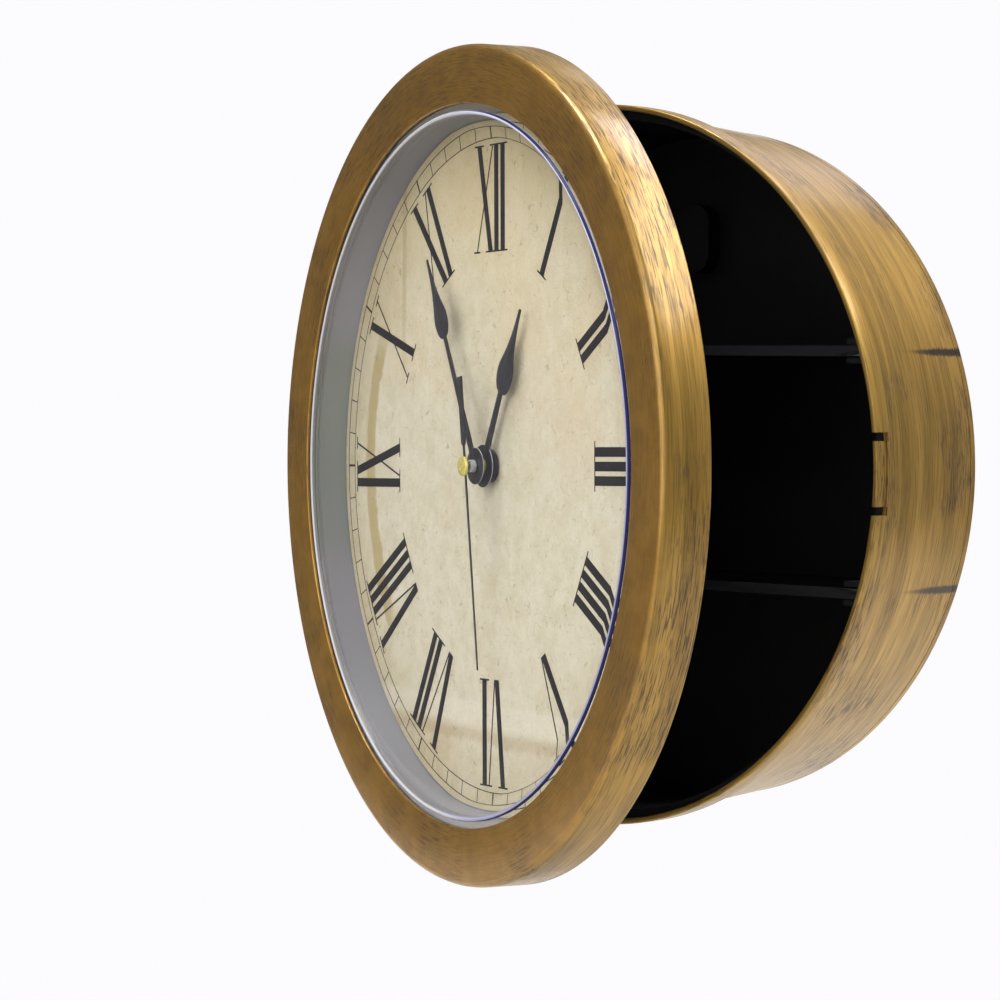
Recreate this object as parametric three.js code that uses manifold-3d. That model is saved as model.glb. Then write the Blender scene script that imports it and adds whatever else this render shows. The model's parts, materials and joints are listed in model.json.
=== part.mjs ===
// Clock diversion safe: a round wall clock whose dial door swings open on a shelved drum.
// Millimetres, +Z up, dial facing -Y, +Y into the wall, origin at the centre of the wall face.
import * as THREE from 'three';
import { mergeVertices } from 'three/addons/utils/BufferGeometryUtils.js';
import Module from 'manifold-3d';

const wasm = await Module();
wasm.setup();

// Driving dimensions: the door's radius, and what the opening and the drum stand in from it
const doorRadius = 125;
const bezelWidth = 17.5;
const doorOverhang = 17.5;
const bezelOpeningRadius = doorRadius - bezelWidth;
const drumFrontRadius = doorRadius - doorOverhang;

// Driving dimensions: drum and cover
const coverThickness = 2.5;
const coverSeam = 0.2;
const drumLength = 44;
const drumTaper = 3.1;
const drumRearRadius = drumFrontRadius - drumTaper;
const drumWall = 2.2;
const rimLength = 7.2;
const rimWall = 1.7;
const rimStep = 0.4;
const rimEdgeBevel = 0.5;
const ledgeThickness = 1.6;

// Driving dimensions: shelves
const shelfHeight = 35;
const shelfThickness = 3.3;
const shelfSetback = 0.8;
const railThickness = 1.6;
const railReach = 4;

// Driving dimensions: door
const doorDepth = 15.3;
const doorStandoff = 2;
const doorBevel = 2;
const doorSkirtWall = 2.4;
const doorFaceWall = 2;
const bezelLipThickness = 0.9;
const bezelLipBevel = 0.4;
const openAngle = 18.7;
const hingeInset = 3;
const hingeLead = 1;

// Driving dimensions: lens, dial and cup
const lensThickness = 1.3;
const lensLap = 2.4;
const lensBevel = 0.6;
const lensBorder = 5;
const lensBorderRise = 0.3;
const dialDepth = 13.4;
const dialInset = 2.5;
const dialRadius = bezelOpeningRadius - dialInset;
const dialThickness = 0.3;
const glueGap = 0.1;
const cupWall = 1.2;
const cupFloor = 1.5;
const cupFlangeThickness = 1.5;
const cupFlangeReach = 11.5;

// Driving dimensions: hands
const hourAngle = 26.6;
const minuteAngle = 331.3;
const secondAngle = 171.2;
const hourReach = 52;
const minuteReach = 71;
const secondReach = 61;
const secondTail = 27;
const handThickness = 0.5;

// Driving dimensions: movement and cell
const movementWidth = 56;
const movementThickness = 16.5;
const movementCorner = 4;
const gasketThickness = 1;
const gasketRadius = 15;
const cellRadius = 7;
const cellLength = 50.5;

// Clearances and facets
const clearance = 0.3;
const seat = 0.4;
const overrun = 1;
const weldDistance = 1e-4;
const roundFacets = 72;
const turnedFacets = 28;
const smallFacets = 14;
const screwFacets = 12;
const curveFacets = 10;
const cornerFacets = 4;
const notchFacets = 8;

// Depths along Y, from the wall forward
const drumRearY = -(coverThickness + coverSeam);
const stepY = -(coverThickness + drumLength);
const ledgeFrontY = stepY - ledgeThickness;
const rimFrontY = stepY - rimLength;
const doorRearY = stepY - doorStandoff;
const doorFrontY = doorRearY - doorDepth;
const faceRearY = doorFrontY + doorFaceWall;
const lensFrontY = doorFrontY + bezelLipThickness + clearance;
const lensRearY = lensFrontY + lensThickness;
const dialFrontY = doorFrontY + dialDepth;
const dialRearY = dialFrontY + dialThickness;
const cupFloorFrontY = dialRearY + glueGap;
const cupFloorRearY = cupFloorFrontY + cupFloor;
const flangeRearY = rimFrontY - seat;
const flangeFrontY = flangeRearY - cupFlangeThickness;
const gasketFrontY = cupFloorRearY + clearance;
const movementFrontY = gasketFrontY + gasketThickness + clearance;
const movementRearY = movementFrontY + movementThickness;

// Radii that other pieces share
const rimBoreRadius = drumFrontRadius + rimStep;
const rimOuterRadius = rimBoreRadius + rimWall;
const skirtBoreRadius = doorRadius - doorSkirtWall;
const lensRadius = bezelOpeningRadius + lensLap;
const cupMouthRadius = bezelOpeningRadius + glueGap;
const hingeX = hingeInset - doorRadius;
const hingeY = doorRearY + hingeLead;

function drumRadiusAt(y) {
  const share = (y - stepY) / (drumRearY - stepY);
  return drumFrontRadius + (drumRearRadius - drumFrontRadius) * share;
}

// Shapes: each helper gives a closed geometry, and solid() makes it ready to join or cut
function box(x, y, z) {
  const geometry = new THREE.BoxGeometry(x[1] - x[0], y[1] - y[0], z[1] - z[0]);
  return geometry.translate((x[0] + x[1]) / 2, (y[0] + y[1]) / 2, (z[0] + z[1]) / 2);
}

function turned(profile, facets = roundFacets) {
  const points = profile.map(([radius, y]) => new THREE.Vector2(radius, y));
  if (points[0].x > 0) points.push(points[0].clone());
  return new THREE.LatheGeometry(points, facets);
}

function tube(outer, bore, y, facets = turnedFacets) {
  return turned([[outer, y[0]], [outer, y[1]], [bore, y[1]], [bore, y[0]]], facets);
}

function rod(radius, y, x = 0, z = 0, facets = smallFacets) {
  const geometry = new THREE.CylinderGeometry(radius, radius, y[1] - y[0], facets);
  return geometry.translate(x, (y[0] + y[1]) / 2, z);
}

function uprightRod(radius, z, x, y, facets = smallFacets) {
  const geometry = new THREE.CylinderGeometry(radius, radius, z[1] - z[0], facets);
  return geometry.rotateX(Math.PI / 2).translate(x, y, (z[0] + z[1]) / 2);
}

function crossRod(radius, x, y, z, facets = turnedFacets) {
  const geometry = new THREE.CylinderGeometry(radius, radius, x[1] - x[0], facets);
  return geometry.rotateZ(Math.PI / 2).translate((x[0] + x[1]) / 2, y, z);
}

function plate(outline, y, curveSegments = curveFacets) {
  const geometry = new THREE.ExtrudeGeometry(outline, {
    depth: y[1] - y[0], bevelEnabled: false, curveSegments,
  });
  return geometry.rotateX(Math.PI / 2).translate(0, y[1], 0);
}

function solid(geometry) {
  const bare = geometry.index ? geometry : mergeVertices(geometry, 0);
  bare.deleteAttribute('normal');
  bare.deleteAttribute('uv');
  const merged = mergeVertices(bare, weldDistance);
  const corners = merged.index.array;
  const kept = [];
  for (let i = 0; i < corners.length; i += 3) {
    const [a, b, c] = [corners[i], corners[i + 1], corners[i + 2]];
    if (a !== b && b !== c && c !== a) kept.push(a, b, c);
  }
  return new wasm.Manifold(new wasm.Mesh({
    numProp: 3,
    vertProperties: new Float32Array(merged.attributes.position.array),
    triVerts: new Uint32Array(kept),
  }));
}

function joined(first, ...others) {
  return others.reduce((sum, geometry) => sum.add(solid(geometry)), first);
}

function cut(first, ...others) {
  return others.reduce((rest, geometry) => rest.subtract(solid(geometry)), first);
}

function piece(name, body, finish) {
  const mesh = body.getMesh();
  const geometry = new THREE.BufferGeometry();
  geometry.setAttribute('position', new THREE.BufferAttribute(mesh.vertProperties, 3));
  geometry.setIndex(new THREE.BufferAttribute(mesh.triVerts, 1));
  geometry.computeVertexNormals();
  const [color, roughness, metalness] = finish;
  const made = new THREE.Mesh(geometry, new THREE.MeshStandardMaterial({
    color, roughness, metalness,
  }));
  made.name = name;
  return made;
}

function around(count, startTurn, make) {
  const copies = [];
  for (let i = 0; i < count; i += 1) {
    copies.push(make().rotateY(THREE.MathUtils.degToRad(startTurn + (360 * i) / count)));
  }
  return copies;
}

// Finishes: colour, roughness, metalness
const antiqueGold = ['#97773f', 0.42, 0.55];
const blackPlastic = ['#0b0b0d', 0.3, 0];
const greyPlastic = ['#8f9096', 0.5, 0];
const clearPlastic = ['#e8ecf4', 0.05, 0];
const agedPaper = ['#dcd2b2', 0.85, 0];
const blackEnamel = ['#2b2a30', 0.45, 0.2];
const brass = ['#cdbf62', 0.3, 0.9];
const steel = ['#a9a9ab', 0.3, 0.9];
const greyRubber = ['#3b3b3d', 0.9, 0];
const cellLabel = ['#3a3d42', 0.4, 0.3];

// Fasteners
const screw = {
  shank: 1.3, head: 2.7, headHeight: 1.1, crown: 0.3, recess: 0.5, driverWidth: 0.7, driverSpan: 3,
};
screw.hole = screw.shank + clearance;

function screwSolid(length) {
  const half = screw.driverWidth / 2;
  const span = screw.driverSpan / 2;
  const top = screw.headHeight;
  const deep = [top - screw.recess, top + overrun];
  const blank = solid(turned([
    [0, -length], [screw.shank, -length], [screw.shank, 0], [screw.head, 0],
    [screw.head, top - screw.crown], [screw.head - screw.crown, top], [0, top],
  ], screwFacets));
  return cut(blank, box([-span, span], deep, [-half, half]), box([-half, half], deep, [-span, span]));
}

function screws(name, count, pitchRadius, seatY, length, startTurn) {
  const made = [];
  for (let i = 0; i < count; i += 1) {
    const turn = THREE.MathUtils.degToRad(startTurn + (360 * i) / count);
    const one = piece(`${name}_${i + 1}`, screwSolid(length), steel);
    one.position.set(pitchRadius * Math.cos(turn), seatY, -pitchRadius * Math.sin(turn));
    made.push(one);
  }
  return made;
}

// Hinge: one knuckle on the drum between two on the door, on an upright pin
const hinge = {
  barrel: 3, pin: 1.4, headRadius: 2.5, headHeight: 1.2, caseKnuckle: 23, doorKnuckle: 8.5,
  armThickness: 2.8, rootDepth: 5, rootWidth: 3.6,
};
hinge.bore = hinge.pin + clearance;
hinge.caseHalf = hinge.caseKnuckle / 2;
hinge.doorNear = hinge.caseHalf + seat;
hinge.doorFar = hinge.doorNear + hinge.doorKnuckle;

function hingePin() {
  const top = hinge.doorFar + clearance;
  const shaft = solid(uprightRod(hinge.pin, [-top, top], hingeX, hingeY));
  return joined(
    shaft,
    uprightRod(hinge.headRadius, [top, top + hinge.headHeight], hingeX, hingeY),
    uprightRod(hinge.pin + clearance, [-top - hinge.headHeight, -top], hingeX, hingeY),
  );
}

// Latch: a springy tongue between two slots in the drum's rim, and the catch on the door
const latch = {
  tongueWidth: 18.7, slotWidth: 2.5, grooveDepth: 0.4, grooveLength: 1.6, catchWidth: 16,
  catchWall: 1.7, catchGap: 0.6, nubHeight: 0.35, nubLength: 0.8, catchEnd: 0.6,
};
latch.catchBore = rimOuterRadius + latch.catchGap;
latch.catchRearY = doorRearY - latch.catchEnd;

// Drum: a drafted shell with a wider socket rim, shelf rails, cover bosses and a hinge arm
const boss = { radius: 4, length: 12, pilotDepth: 10, inset: 3.4 };
boss.pitch = drumRearRadius - drumWall - boss.inset;
const coverScrewLength = 9;

function drumShell() {
  return solid(turned([
    [rimBoreRadius + rimEdgeBevel, rimFrontY],
    [rimOuterRadius - rimEdgeBevel, rimFrontY],
    [rimOuterRadius, rimFrontY + rimEdgeBevel],
    [rimOuterRadius, stepY],
    [drumFrontRadius, stepY],
    [drumRearRadius, drumRearY],
    [drumRearRadius - drumWall, drumRearY],
    [drumFrontRadius - drumWall, stepY],
    [drumFrontRadius - drumWall, ledgeFrontY],
    [rimBoreRadius, ledgeFrontY],
    [rimBoreRadius, rimFrontY + rimEdgeBevel],
  ]));
}

function drumCore(gap) {
  const front = drumFrontRadius - gap;
  const rear = drumRearRadius - gap;
  return solid(turned([[0, stepY], [front, stepY], [rear, drumRearY], [0, drumRearY]]));
}

function shelfRails() {
  const top = shelfHeight + shelfThickness / 2;
  const bore = drumRearRadius - drumWall;
  const inner = Math.sqrt(bore ** 2 - top ** 2) - railReach;
  const y = [stepY + shelfSetback + clearance, drumRearY];
  const rails = [];
  for (const side of [-1, 1]) {
    for (const level of [-shelfHeight, shelfHeight]) {
      for (const face of [-1, 1]) {
        const near = level + face * (shelfThickness / 2 + clearance);
        const far = near + face * railThickness;
        const x = [side * inner, side * drumFrontRadius].sort((a, b) => a - b);
        rails.push(box(x, y, [near, far].sort((a, b) => a - b)));
      }
    }
  }
  return rails;
}

function caseDrum() {
  const skin = drumCore(drumWall / 2);
  let body = drumShell();
  for (const rail of shelfRails()) body = body.add(solid(rail).intersect(skin));
  const bossY = [drumRearY - boss.length, drumRearY];
  const pilotY = [drumRearY - boss.pilotDepth, drumRearY + overrun];
  const bosses = around(4, 45, () => rod(boss.radius, bossY, boss.pitch, 0));
  for (const one of bosses) body = body.add(solid(one).intersect(skin));
  body = cut(body, ...around(4, 45, () => rod(screw.hole, pilotY, boss.pitch, 0)));
  body = joined(
    body,
    uprightRod(hinge.barrel, [-hinge.caseHalf, hinge.caseHalf], hingeX, hingeY),
    box(
      [hingeX, -(rimBoreRadius + rimWall / 2)],
      [hingeY - hinge.armThickness / 2, hingeY + hinge.armThickness / 2],
      [-hinge.caseHalf, hinge.caseHalf],
    ),
  );
  const pinHole = [-hinge.caseHalf - overrun, hinge.caseHalf + overrun];
  body = cut(body, uprightRod(hinge.bore, pinHole, hingeX, hingeY));
  const slotX = [rimBoreRadius - overrun, rimOuterRadius + overrun];
  const slotY = [rimFrontY - overrun, ledgeFrontY];
  const slotNear = latch.tongueWidth / 2;
  const slotFar = slotNear + latch.slotWidth;
  const grooveY = [latch.catchRearY - latch.grooveLength, latch.catchRearY + clearance];
  const groove = tube(rimOuterRadius + overrun, rimOuterRadius - latch.grooveDepth, grooveY, roundFacets);
  const tongue = solid(box([0, doorRadius], grooveY, [-slotNear, slotNear]));
  body = cut(body, box(slotX, slotY, [slotNear, slotFar]), box(slotX, slotY, [-slotFar, -slotNear]));
  return body.subtract(solid(groove).intersect(tongue));
}

// Back cover: a disc with recessed screw holes and a closed keyhole pocket for the wall screw
const keyhole = { height: 66, drop: 4.6, slot: 2.3, rise: 9, headRoom: 4, wall: 1.5 };
const coverEdgeBevel = 0.6;
const headRecess = 1.5;

function keyholeOutline() {
  const outline = new THREE.Shape();
  const spread = Math.asin(keyhole.slot / keyhole.drop);
  const top = keyhole.height + keyhole.rise;
  outline.absarc(0, keyhole.height, keyhole.drop, Math.PI / 2 + spread, Math.PI / 2 - spread, false);
  outline.absarc(0, top, keyhole.slot, 0, Math.PI, false);
  return outline;
}

// The path of the screw's head, from the round mouth to the top of the slot
function headPath(radius) {
  const outline = new THREE.Shape();
  outline.absarc(0, keyhole.height, radius, Math.PI, 2 * Math.PI, false);
  outline.absarc(0, keyhole.height + keyhole.rise, radius, 0, Math.PI, false);
  return outline;
}

function backCover() {
  const edge = drumRearRadius - coverEdgeBevel;
  const disc = solid(turned([
    [0, -coverThickness], [drumRearRadius, -coverThickness], [drumRearRadius, -coverEdgeBevel],
    [edge, 0], [0, 0],
  ]));
  const pocketY = -coverThickness - keyhole.headRoom;
  const housing = plate(
    headPath(keyhole.drop + keyhole.wall), [pocketY - keyhole.wall, -coverThickness / 2],
    smallFacets / 2,
  );
  const through = [-coverThickness - overrun, overrun];
  return cut(
    joined(disc, housing),
    ...around(4, 45, () => rod(screw.hole, through, boss.pitch, 0)),
    ...around(4, 45, () => rod(screw.head + seat, [-headRecess, overrun], boss.pitch, 0)),
    plate(keyholeOutline(), through),
    plate(headPath(keyhole.drop), [pocketY, -coverThickness], smallFacets / 2),
  );
}

// Shelves: flat plates cut to the inside of the drum
function shelf(level) {
  const y = [stepY + shelfSetback, drumRearY];
  const z = [level - shelfThickness / 2, level + shelfThickness / 2];
  const slab = solid(box([-drumFrontRadius, drumFrontRadius], y, z));
  return slab.intersect(drumCore(drumWall + clearance));
}

// Door bezel: a channelled ring open at the back, with ribs, screw bosses and hinge knuckles
const rib = { count: 12, thickness: 1.2, inset: 2, startTurn: 15 };
const doorBoss = { radius: 3, inset: 7.1, startTurn: 45, floor: 0.6 };
doorBoss.pitch = skirtBoreRadius - doorBoss.inset;
const cupScrewLength = 6.2;

function bezelRing() {
  return solid(turned([
    [bezelOpeningRadius + bezelLipBevel, doorFrontY],
    [doorRadius - doorBevel, doorFrontY],
    [doorRadius, doorFrontY + doorBevel],
    [doorRadius, doorRearY],
    [skirtBoreRadius, doorRearY],
    [skirtBoreRadius, faceRearY],
    [lensRadius + clearance, faceRearY],
    [lensRadius + clearance, doorFrontY + bezelLipThickness],
    [bezelOpeningRadius, doorFrontY + bezelLipThickness],
    [bezelOpeningRadius, doorFrontY + bezelLipBevel],
  ]));
}

function doorBezel() {
  const into = doorFaceWall / 2;
  const ribX = [lensRadius + rib.inset, skirtBoreRadius + doorSkirtWall / 2];
  const ribY = [faceRearY - into, flangeFrontY - seat];
  const bossY = [faceRearY - into, flangeFrontY - clearance];
  const half = rib.thickness / 2;
  let body = joined(
    bezelRing(),
    ...around(rib.count, rib.startTurn, () => box(ribX, ribY, [-half, half])),
    ...around(4, doorBoss.startTurn, () => rod(doorBoss.radius, bossY, doorBoss.pitch, 0)),
  );
  const pilotY = [faceRearY + doorBoss.floor, flangeFrontY + overrun];
  body = cut(body, ...around(4, doorBoss.startTurn, () => rod(screw.hole, pilotY, doorBoss.pitch, 0)));
  const relief = hinge.barrel + seat;
  const reliefTop = hinge.doorFar + clearance + hinge.headHeight + seat;
  body = cut(body, uprightRod(relief, [-reliefTop, reliefTop], hingeX, hingeY, turnedFacets));
  for (const side of [-1, 1]) {
    const z = [side * hinge.doorNear, side * hinge.doorFar].sort((a, b) => a - b);
    const rootX = [hingeX - hinge.rootWidth / 2, hingeX + hinge.rootWidth / 2];
    const rootY = [hingeY - hinge.rootDepth, hingeY];
    const holeZ = [z[0] - overrun / 2, z[1] + overrun / 2];
    body = joined(body, uprightRod(hinge.barrel, z, hingeX, hingeY), box(rootX, rootY, z));
    body = cut(body, uprightRod(hinge.bore, holeZ, hingeX, hingeY));
  }
  return body;
}

// Lens: a clear disc whose border rises a little to the bezel's lip, set in the bezel's rebate
function lens() {
  const flatRadius = bezelOpeningRadius - lensBorder;
  return solid(turned([
    [0, lensFrontY + lensBorderRise], [flatRadius, lensFrontY + lensBorderRise],
    [bezelOpeningRadius, lensFrontY],
    [lensRadius - lensBevel, lensFrontY], [lensRadius, lensFrontY + lensBevel],
    [lensRadius, lensRearY], [0, lensRearY],
  ]));
}

// Dial cup: a drafted well that carries the dial, with a screw flange and the latch catch
const bush = {
  radius: 3.4, bore: 2.4, collar: 5.2, collarThickness: 1.5, proud: 0.5, chamfer: 0.3,
};
const nut = { radius: 5, height: 1.5, bevel: 0.3 };
const bushTop = clearance + nut.height + bush.proud;
const cupHole = bush.radius + clearance;

function dialCup() {
  const mouthY = lensRearY + clearance;
  const floorRadius = dialRadius + seat;
  const draft = (cupMouthRadius - floorRadius) / (cupFloorFrontY - mouthY);
  const wallAt = (y) => floorRadius + draft * (cupFloorFrontY - y) + cupWall;
  const flangeRadius = cupMouthRadius + cupFlangeReach;
  const ring = solid(turned([
    [cupMouthRadius, mouthY],
    [wallAt(mouthY), mouthY],
    [wallAt(flangeFrontY), flangeFrontY],
    [flangeRadius, flangeFrontY],
    [flangeRadius, flangeRearY],
    [wallAt(flangeRearY), flangeRearY],
    [wallAt(cupFloorRearY - overrun), cupFloorRearY - overrun],
    [floorRadius + clearance, cupFloorRearY],
    [cupHole, cupFloorRearY],
    [cupHole, cupFloorFrontY],
    [floorRadius, cupFloorFrontY],
  ]));
  const holeY = [flangeFrontY - overrun, flangeRearY + overrun];
  const drilled = cut(
    ring,
    ...around(4, doorBoss.startTurn, () => rod(screw.hole, holeY, doorBoss.pitch, 0)),
  );
  const nubY = latch.catchRearY - latch.nubLength;
  const bore = latch.catchBore;
  const collar = solid(turned([
    [bore, flangeRearY - cupFlangeThickness / 2],
    [bore + latch.catchWall, flangeRearY - cupFlangeThickness / 2],
    [bore + latch.catchWall, latch.catchRearY],
    [bore, latch.catchRearY],
    [bore - latch.nubHeight, latch.catchRearY - latch.nubLength / 2],
    [bore, nubY],
  ]));
  const half = latch.catchWidth / 2;
  const slice = solid(box([0, doorRadius], [doorFrontY, drumRearY], [-half, half]));
  return drilled.add(collar.intersect(slice));
}

function dialFace() {
  return solid(tube(dialRadius, cupHole, [dialFrontY, dialRearY], roundFacets));
}

// Movement: a closed quartz case with a cell bay and a setting wheel at its back
const bay = { end: 1, lift: 0.3, height: -15.5 };
bay.radius = cellRadius + seat;
bay.x = [bay.end - movementWidth / 2, movementWidth / 2 - bay.end];
bay.axisY = movementRearY - bay.lift - cellRadius;
const knob = {
  radius: 7, recess: 2.2, proud: 1, height: 15, shaft: 1.5, shaftLength: 4, notch: 0.55, notches: 14,
};
const bushSeatDepth = bush.collarThickness + clearance;
const shaftWell = 5;

function roundedSquare(width, corner) {
  const half = width / 2;
  const near = half - corner;
  const outline = new THREE.Shape();
  outline.absarc(near, near, corner, 0, Math.PI / 2, false);
  outline.absarc(-near, near, corner, Math.PI / 2, Math.PI, false);
  outline.absarc(-near, -near, corner, Math.PI, Math.PI * 1.5, false);
  outline.absarc(near, -near, corner, Math.PI * 1.5, Math.PI * 2, false);
  return outline;
}

function movementCase() {
  const block = plate(roundedSquare(movementWidth, movementCorner), [movementFrontY, movementRearY], cornerFacets);
  const seatY = [movementFrontY - overrun, movementFrontY + bushSeatDepth];
  const wellY = [movementFrontY, movementFrontY + bushSeatDepth + shaftWell];
  const recessY = [movementRearY - knob.recess, movementRearY + overrun];
  const boreY = [recessY[0] - knob.shaftLength - clearance, movementRearY];
  const bayZ = [bay.height - bay.radius, bay.height + bay.radius];
  return cut(
    solid(block),
    rod(bush.collar + clearance, seatY, 0, 0, turnedFacets),
    rod(bush.bore, wellY),
    crossRod(bay.radius, bay.x, bay.axisY, bay.height),
    box(bay.x, [bay.axisY, movementRearY + overrun], bayZ),
    rod(knob.radius + seat, recessY, 0, knob.height, turnedFacets),
    rod(knob.shaft + clearance, boreY, 0, knob.height),
  );
}

function gasket() {
  return solid(tube(gasketRadius, cupHole, [gasketFrontY, gasketFrontY + gasketThickness]));
}

function threadedBush() {
  const rear = movementFrontY + bush.collarThickness;
  const front = dialFrontY - bushTop;
  return solid(turned([
    [bush.bore, front], [bush.radius - bush.chamfer, front], [bush.radius, front + bush.chamfer],
    [bush.radius, movementFrontY], [bush.collar, movementFrontY], [bush.collar, rear],
    [bush.bore, rear],
  ], turnedFacets));
}

function fixingNut() {
  const rear = dialFrontY - clearance;
  const front = rear - nut.height;
  const bore = bush.radius + clearance;
  return solid(turned([
    [bore, front], [nut.radius - nut.bevel, front], [nut.radius, front + nut.bevel],
    [nut.radius, rear], [bore, rear],
  ], turnedFacets));
}

function settingKnob() {
  const recessFloor = movementRearY - knob.recess;
  const rear = movementRearY + knob.proud;
  const wheel = solid(rod(knob.radius, [recessFloor + clearance, rear], 0, knob.height, turnedFacets));
  const shaftY = [recessFloor - knob.shaftLength, recessFloor + seat];
  const notches = around(knob.notches, 0, () => {
    return rod(knob.notch, [recessFloor, rear + overrun], knob.radius, 0, notchFacets);
  }).map((groove) => groove.translate(0, 0, knob.height));
  return cut(joined(wheel, rod(knob.shaft, shaftY, 0, knob.height)), ...notches);
}

// Cell and its contacts
const cellNub = { radius: 2.75, length: 1.2 };
const contactThickness = 0.4;
const spring = { wire: 0.3, turns: 2.25, wide: 4.8, narrow: 2.2, steps: 8, sides: 5, end: 0.3 };

function batteryCell() {
  const plusX = bay.x[1] - clearance - contactThickness - clearance;
  const shoulderX = plusX - cellNub.length;
  const body = solid(crossRod(cellRadius, [plusX - cellLength, shoulderX], bay.axisY, bay.height));
  const nubX = [shoulderX - cellNub.length, plusX];
  return joined(body, crossRod(cellNub.radius, nubX, bay.axisY, bay.height, smallFacets));
}

function batteryPlate() {
  const x = [bay.x[1] - clearance - contactThickness, bay.x[1] - clearance];
  const half = bay.radius - 2 * clearance;
  const y = [bay.axisY - cellNub.radius, movementRearY - clearance];
  return solid(box(x, y, [bay.height - half, bay.height + half]));
}

class ConeCoil extends THREE.Curve {
  constructor(start, length) {
    super();
    this.start = start;
    this.length = length;
  }

  getPoint(share, target = new THREE.Vector3()) {
    const turn = 2 * Math.PI * spring.turns * share;
    const radius = spring.wide + (spring.narrow - spring.wide) * share;
    return target.set(
      this.start + this.length * share,
      bay.axisY + radius * Math.cos(turn),
      bay.height + radius * Math.sin(turn),
    );
  }
}

function coilGap(coil, steps) {
  const points = coil.getPoints(steps);
  const turnSteps = steps / spring.turns;
  let least = Infinity;
  for (let i = 0; i < points.length; i += 1) {
    for (let j = i + Math.round(turnSteps / 2); j < points.length; j += 1) {
      least = Math.min(least, points[i].distanceTo(points[j]) - 2 * spring.wire);
    }
  }
  return least;
}

function batterySpring() {
  const minusX = bay.x[1] - 2 * clearance - contactThickness - cellLength;
  const start = bay.x[0] + clearance + spring.wire;
  const length = minusX - spring.end - spring.wire - start;
  const coil = new ConeCoil(start, length);
  const steps = Math.round(spring.steps * spring.turns);
  console.log(`battery spring least gap to itself ${coilGap(coil, steps * spring.steps).toFixed(2)} mm`);
  const section = new THREE.Shape();
  section.absarc(0, 0, spring.wire, 0, 2 * Math.PI, false);
  return solid(new THREE.ExtrudeGeometry(section, {
    extrudePath: coil, steps, curveSegments: spring.sides, bevelEnabled: false,
  }));
}

// Hands: pear-shaped blades on coaxial shafts, drawn pointing at twelve
const shaft = {
  hourRadius: 2.1, hourBore: 1.5, minuteRadius: 1.2, minuteBore: 0.8, secondRadius: 0.5,
};
const hourBlade = {
  reach: hourReach, hub: 6.4, bore: shaft.hourRadius + clearance, root: 3.1, stem: 2.4,
  bulbStart: 24.5, bulbWide: 9.2, tip: 0.9,
};
const minuteBlade = {
  reach: minuteReach, hub: 5.5, bore: shaft.minuteRadius + clearance, root: 2.8, stem: 1.6,
  bulbStart: 44, bulbWide: 8, tip: 0.8,
};
const bulb = { shoulderShare: 0.22, waistShare: 0.62, roundShare: 0.16, taperShare: 0.4 };

// Heights of the hands above the dial, each set by what lies under it
const stack = { aboveBush: 0.5, tubeProud: 0.5, aboveTube: 1.6, aboveNut: 1 };
const minuteNut = { radius: 1.9, height: 1.7 };
const needle = { width: 0.9, tailWidth: 2.8, tailStart: 6, tip: 0.5, hub: 1.9, thickness: 0.35 };
const hourHeight = bushTop + stack.aboveBush;
const hourTubeHeight = hourHeight + handThickness + stack.tubeProud;
const minuteHeight = hourTubeHeight + stack.aboveTube;
const minuteNutHeight = minuteHeight + handThickness + clearance;
const secondHeight = minuteNutHeight + minuteNut.height + stack.aboveNut;
const capHeight = secondHeight + needle.thickness + clearance;

function bladeOutline(blade) {
  const stem = blade.stem / 2;
  const wide = blade.bulbWide / 2;
  const tip = blade.tip / 2;
  const span = blade.reach - blade.bulbStart;
  const shoulder = blade.bulbStart + span * bulb.shoulderShare;
  const round = span * bulb.roundShare;
  const waist = blade.bulbStart + span * bulb.waistShare;
  const taper = waist - span * bulb.taperShare / 2;
  const join = Math.asin(blade.root / 2 / blade.hub);
  const outline = new THREE.Shape();
  outline.absarc(0, 0, blade.hub, Math.PI / 2 + join, Math.PI / 2 - join, false);
  outline.lineTo(stem, blade.bulbStart);
  outline.bezierCurveTo(wide / 2, blade.bulbStart, wide, shoulder - round, wide, shoulder);
  outline.bezierCurveTo(wide, shoulder + round, stem, taper, tip, blade.reach);
  outline.lineTo(-tip, blade.reach);
  outline.bezierCurveTo(-stem, taper, -wide, shoulder + round, -wide, shoulder);
  outline.bezierCurveTo(-wide, shoulder - round, -wide / 2, blade.bulbStart, -stem, blade.bulbStart);
  outline.holes.push(new THREE.Path().absarc(0, 0, blade.bore, 0, 2 * Math.PI, true));
  return outline;
}

function handBlade(blade, height) {
  const front = dialFrontY - height - handThickness;
  return solid(plate(bladeOutline(blade), [front, front + handThickness]));
}

function secondNeedle() {
  const half = needle.width / 2;
  const tail = needle.tailWidth / 2;
  const tip = needle.tip / 2;
  const outline = new THREE.Shape();
  const join = Math.asin(half / needle.hub);
  outline.absarc(0, 0, needle.hub, Math.PI / 2 - join, -Math.PI / 2 + join, true);
  outline.lineTo(half, -needle.tailStart);
  outline.lineTo(tail, -needle.tailStart - tail);
  outline.lineTo(tail, -secondTail);
  outline.lineTo(-tail, -secondTail);
  outline.lineTo(-tail, -needle.tailStart - tail);
  outline.lineTo(-half, -needle.tailStart);
  outline.absarc(0, 0, needle.hub, -Math.PI / 2 - join, -Math.PI * 1.5 + join, true);
  outline.lineTo(-tip, secondReach);
  outline.lineTo(tip, secondReach);
  const front = dialFrontY - secondHeight - needle.thickness;
  const bore = shaft.secondRadius + clearance;
  outline.holes.push(new THREE.Path().absarc(0, 0, bore, 0, 2 * Math.PI, false));
  return solid(plate(outline, [front, front + needle.thickness]));
}

const wellFloorY = movementFrontY + bushSeatDepth + shaftWell;

function hourTube() {
  const y = [dialFrontY - hourTubeHeight, wellFloorY - 3 * clearance];
  return solid(tube(shaft.hourRadius, shaft.hourBore, y, smallFacets));
}

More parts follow.
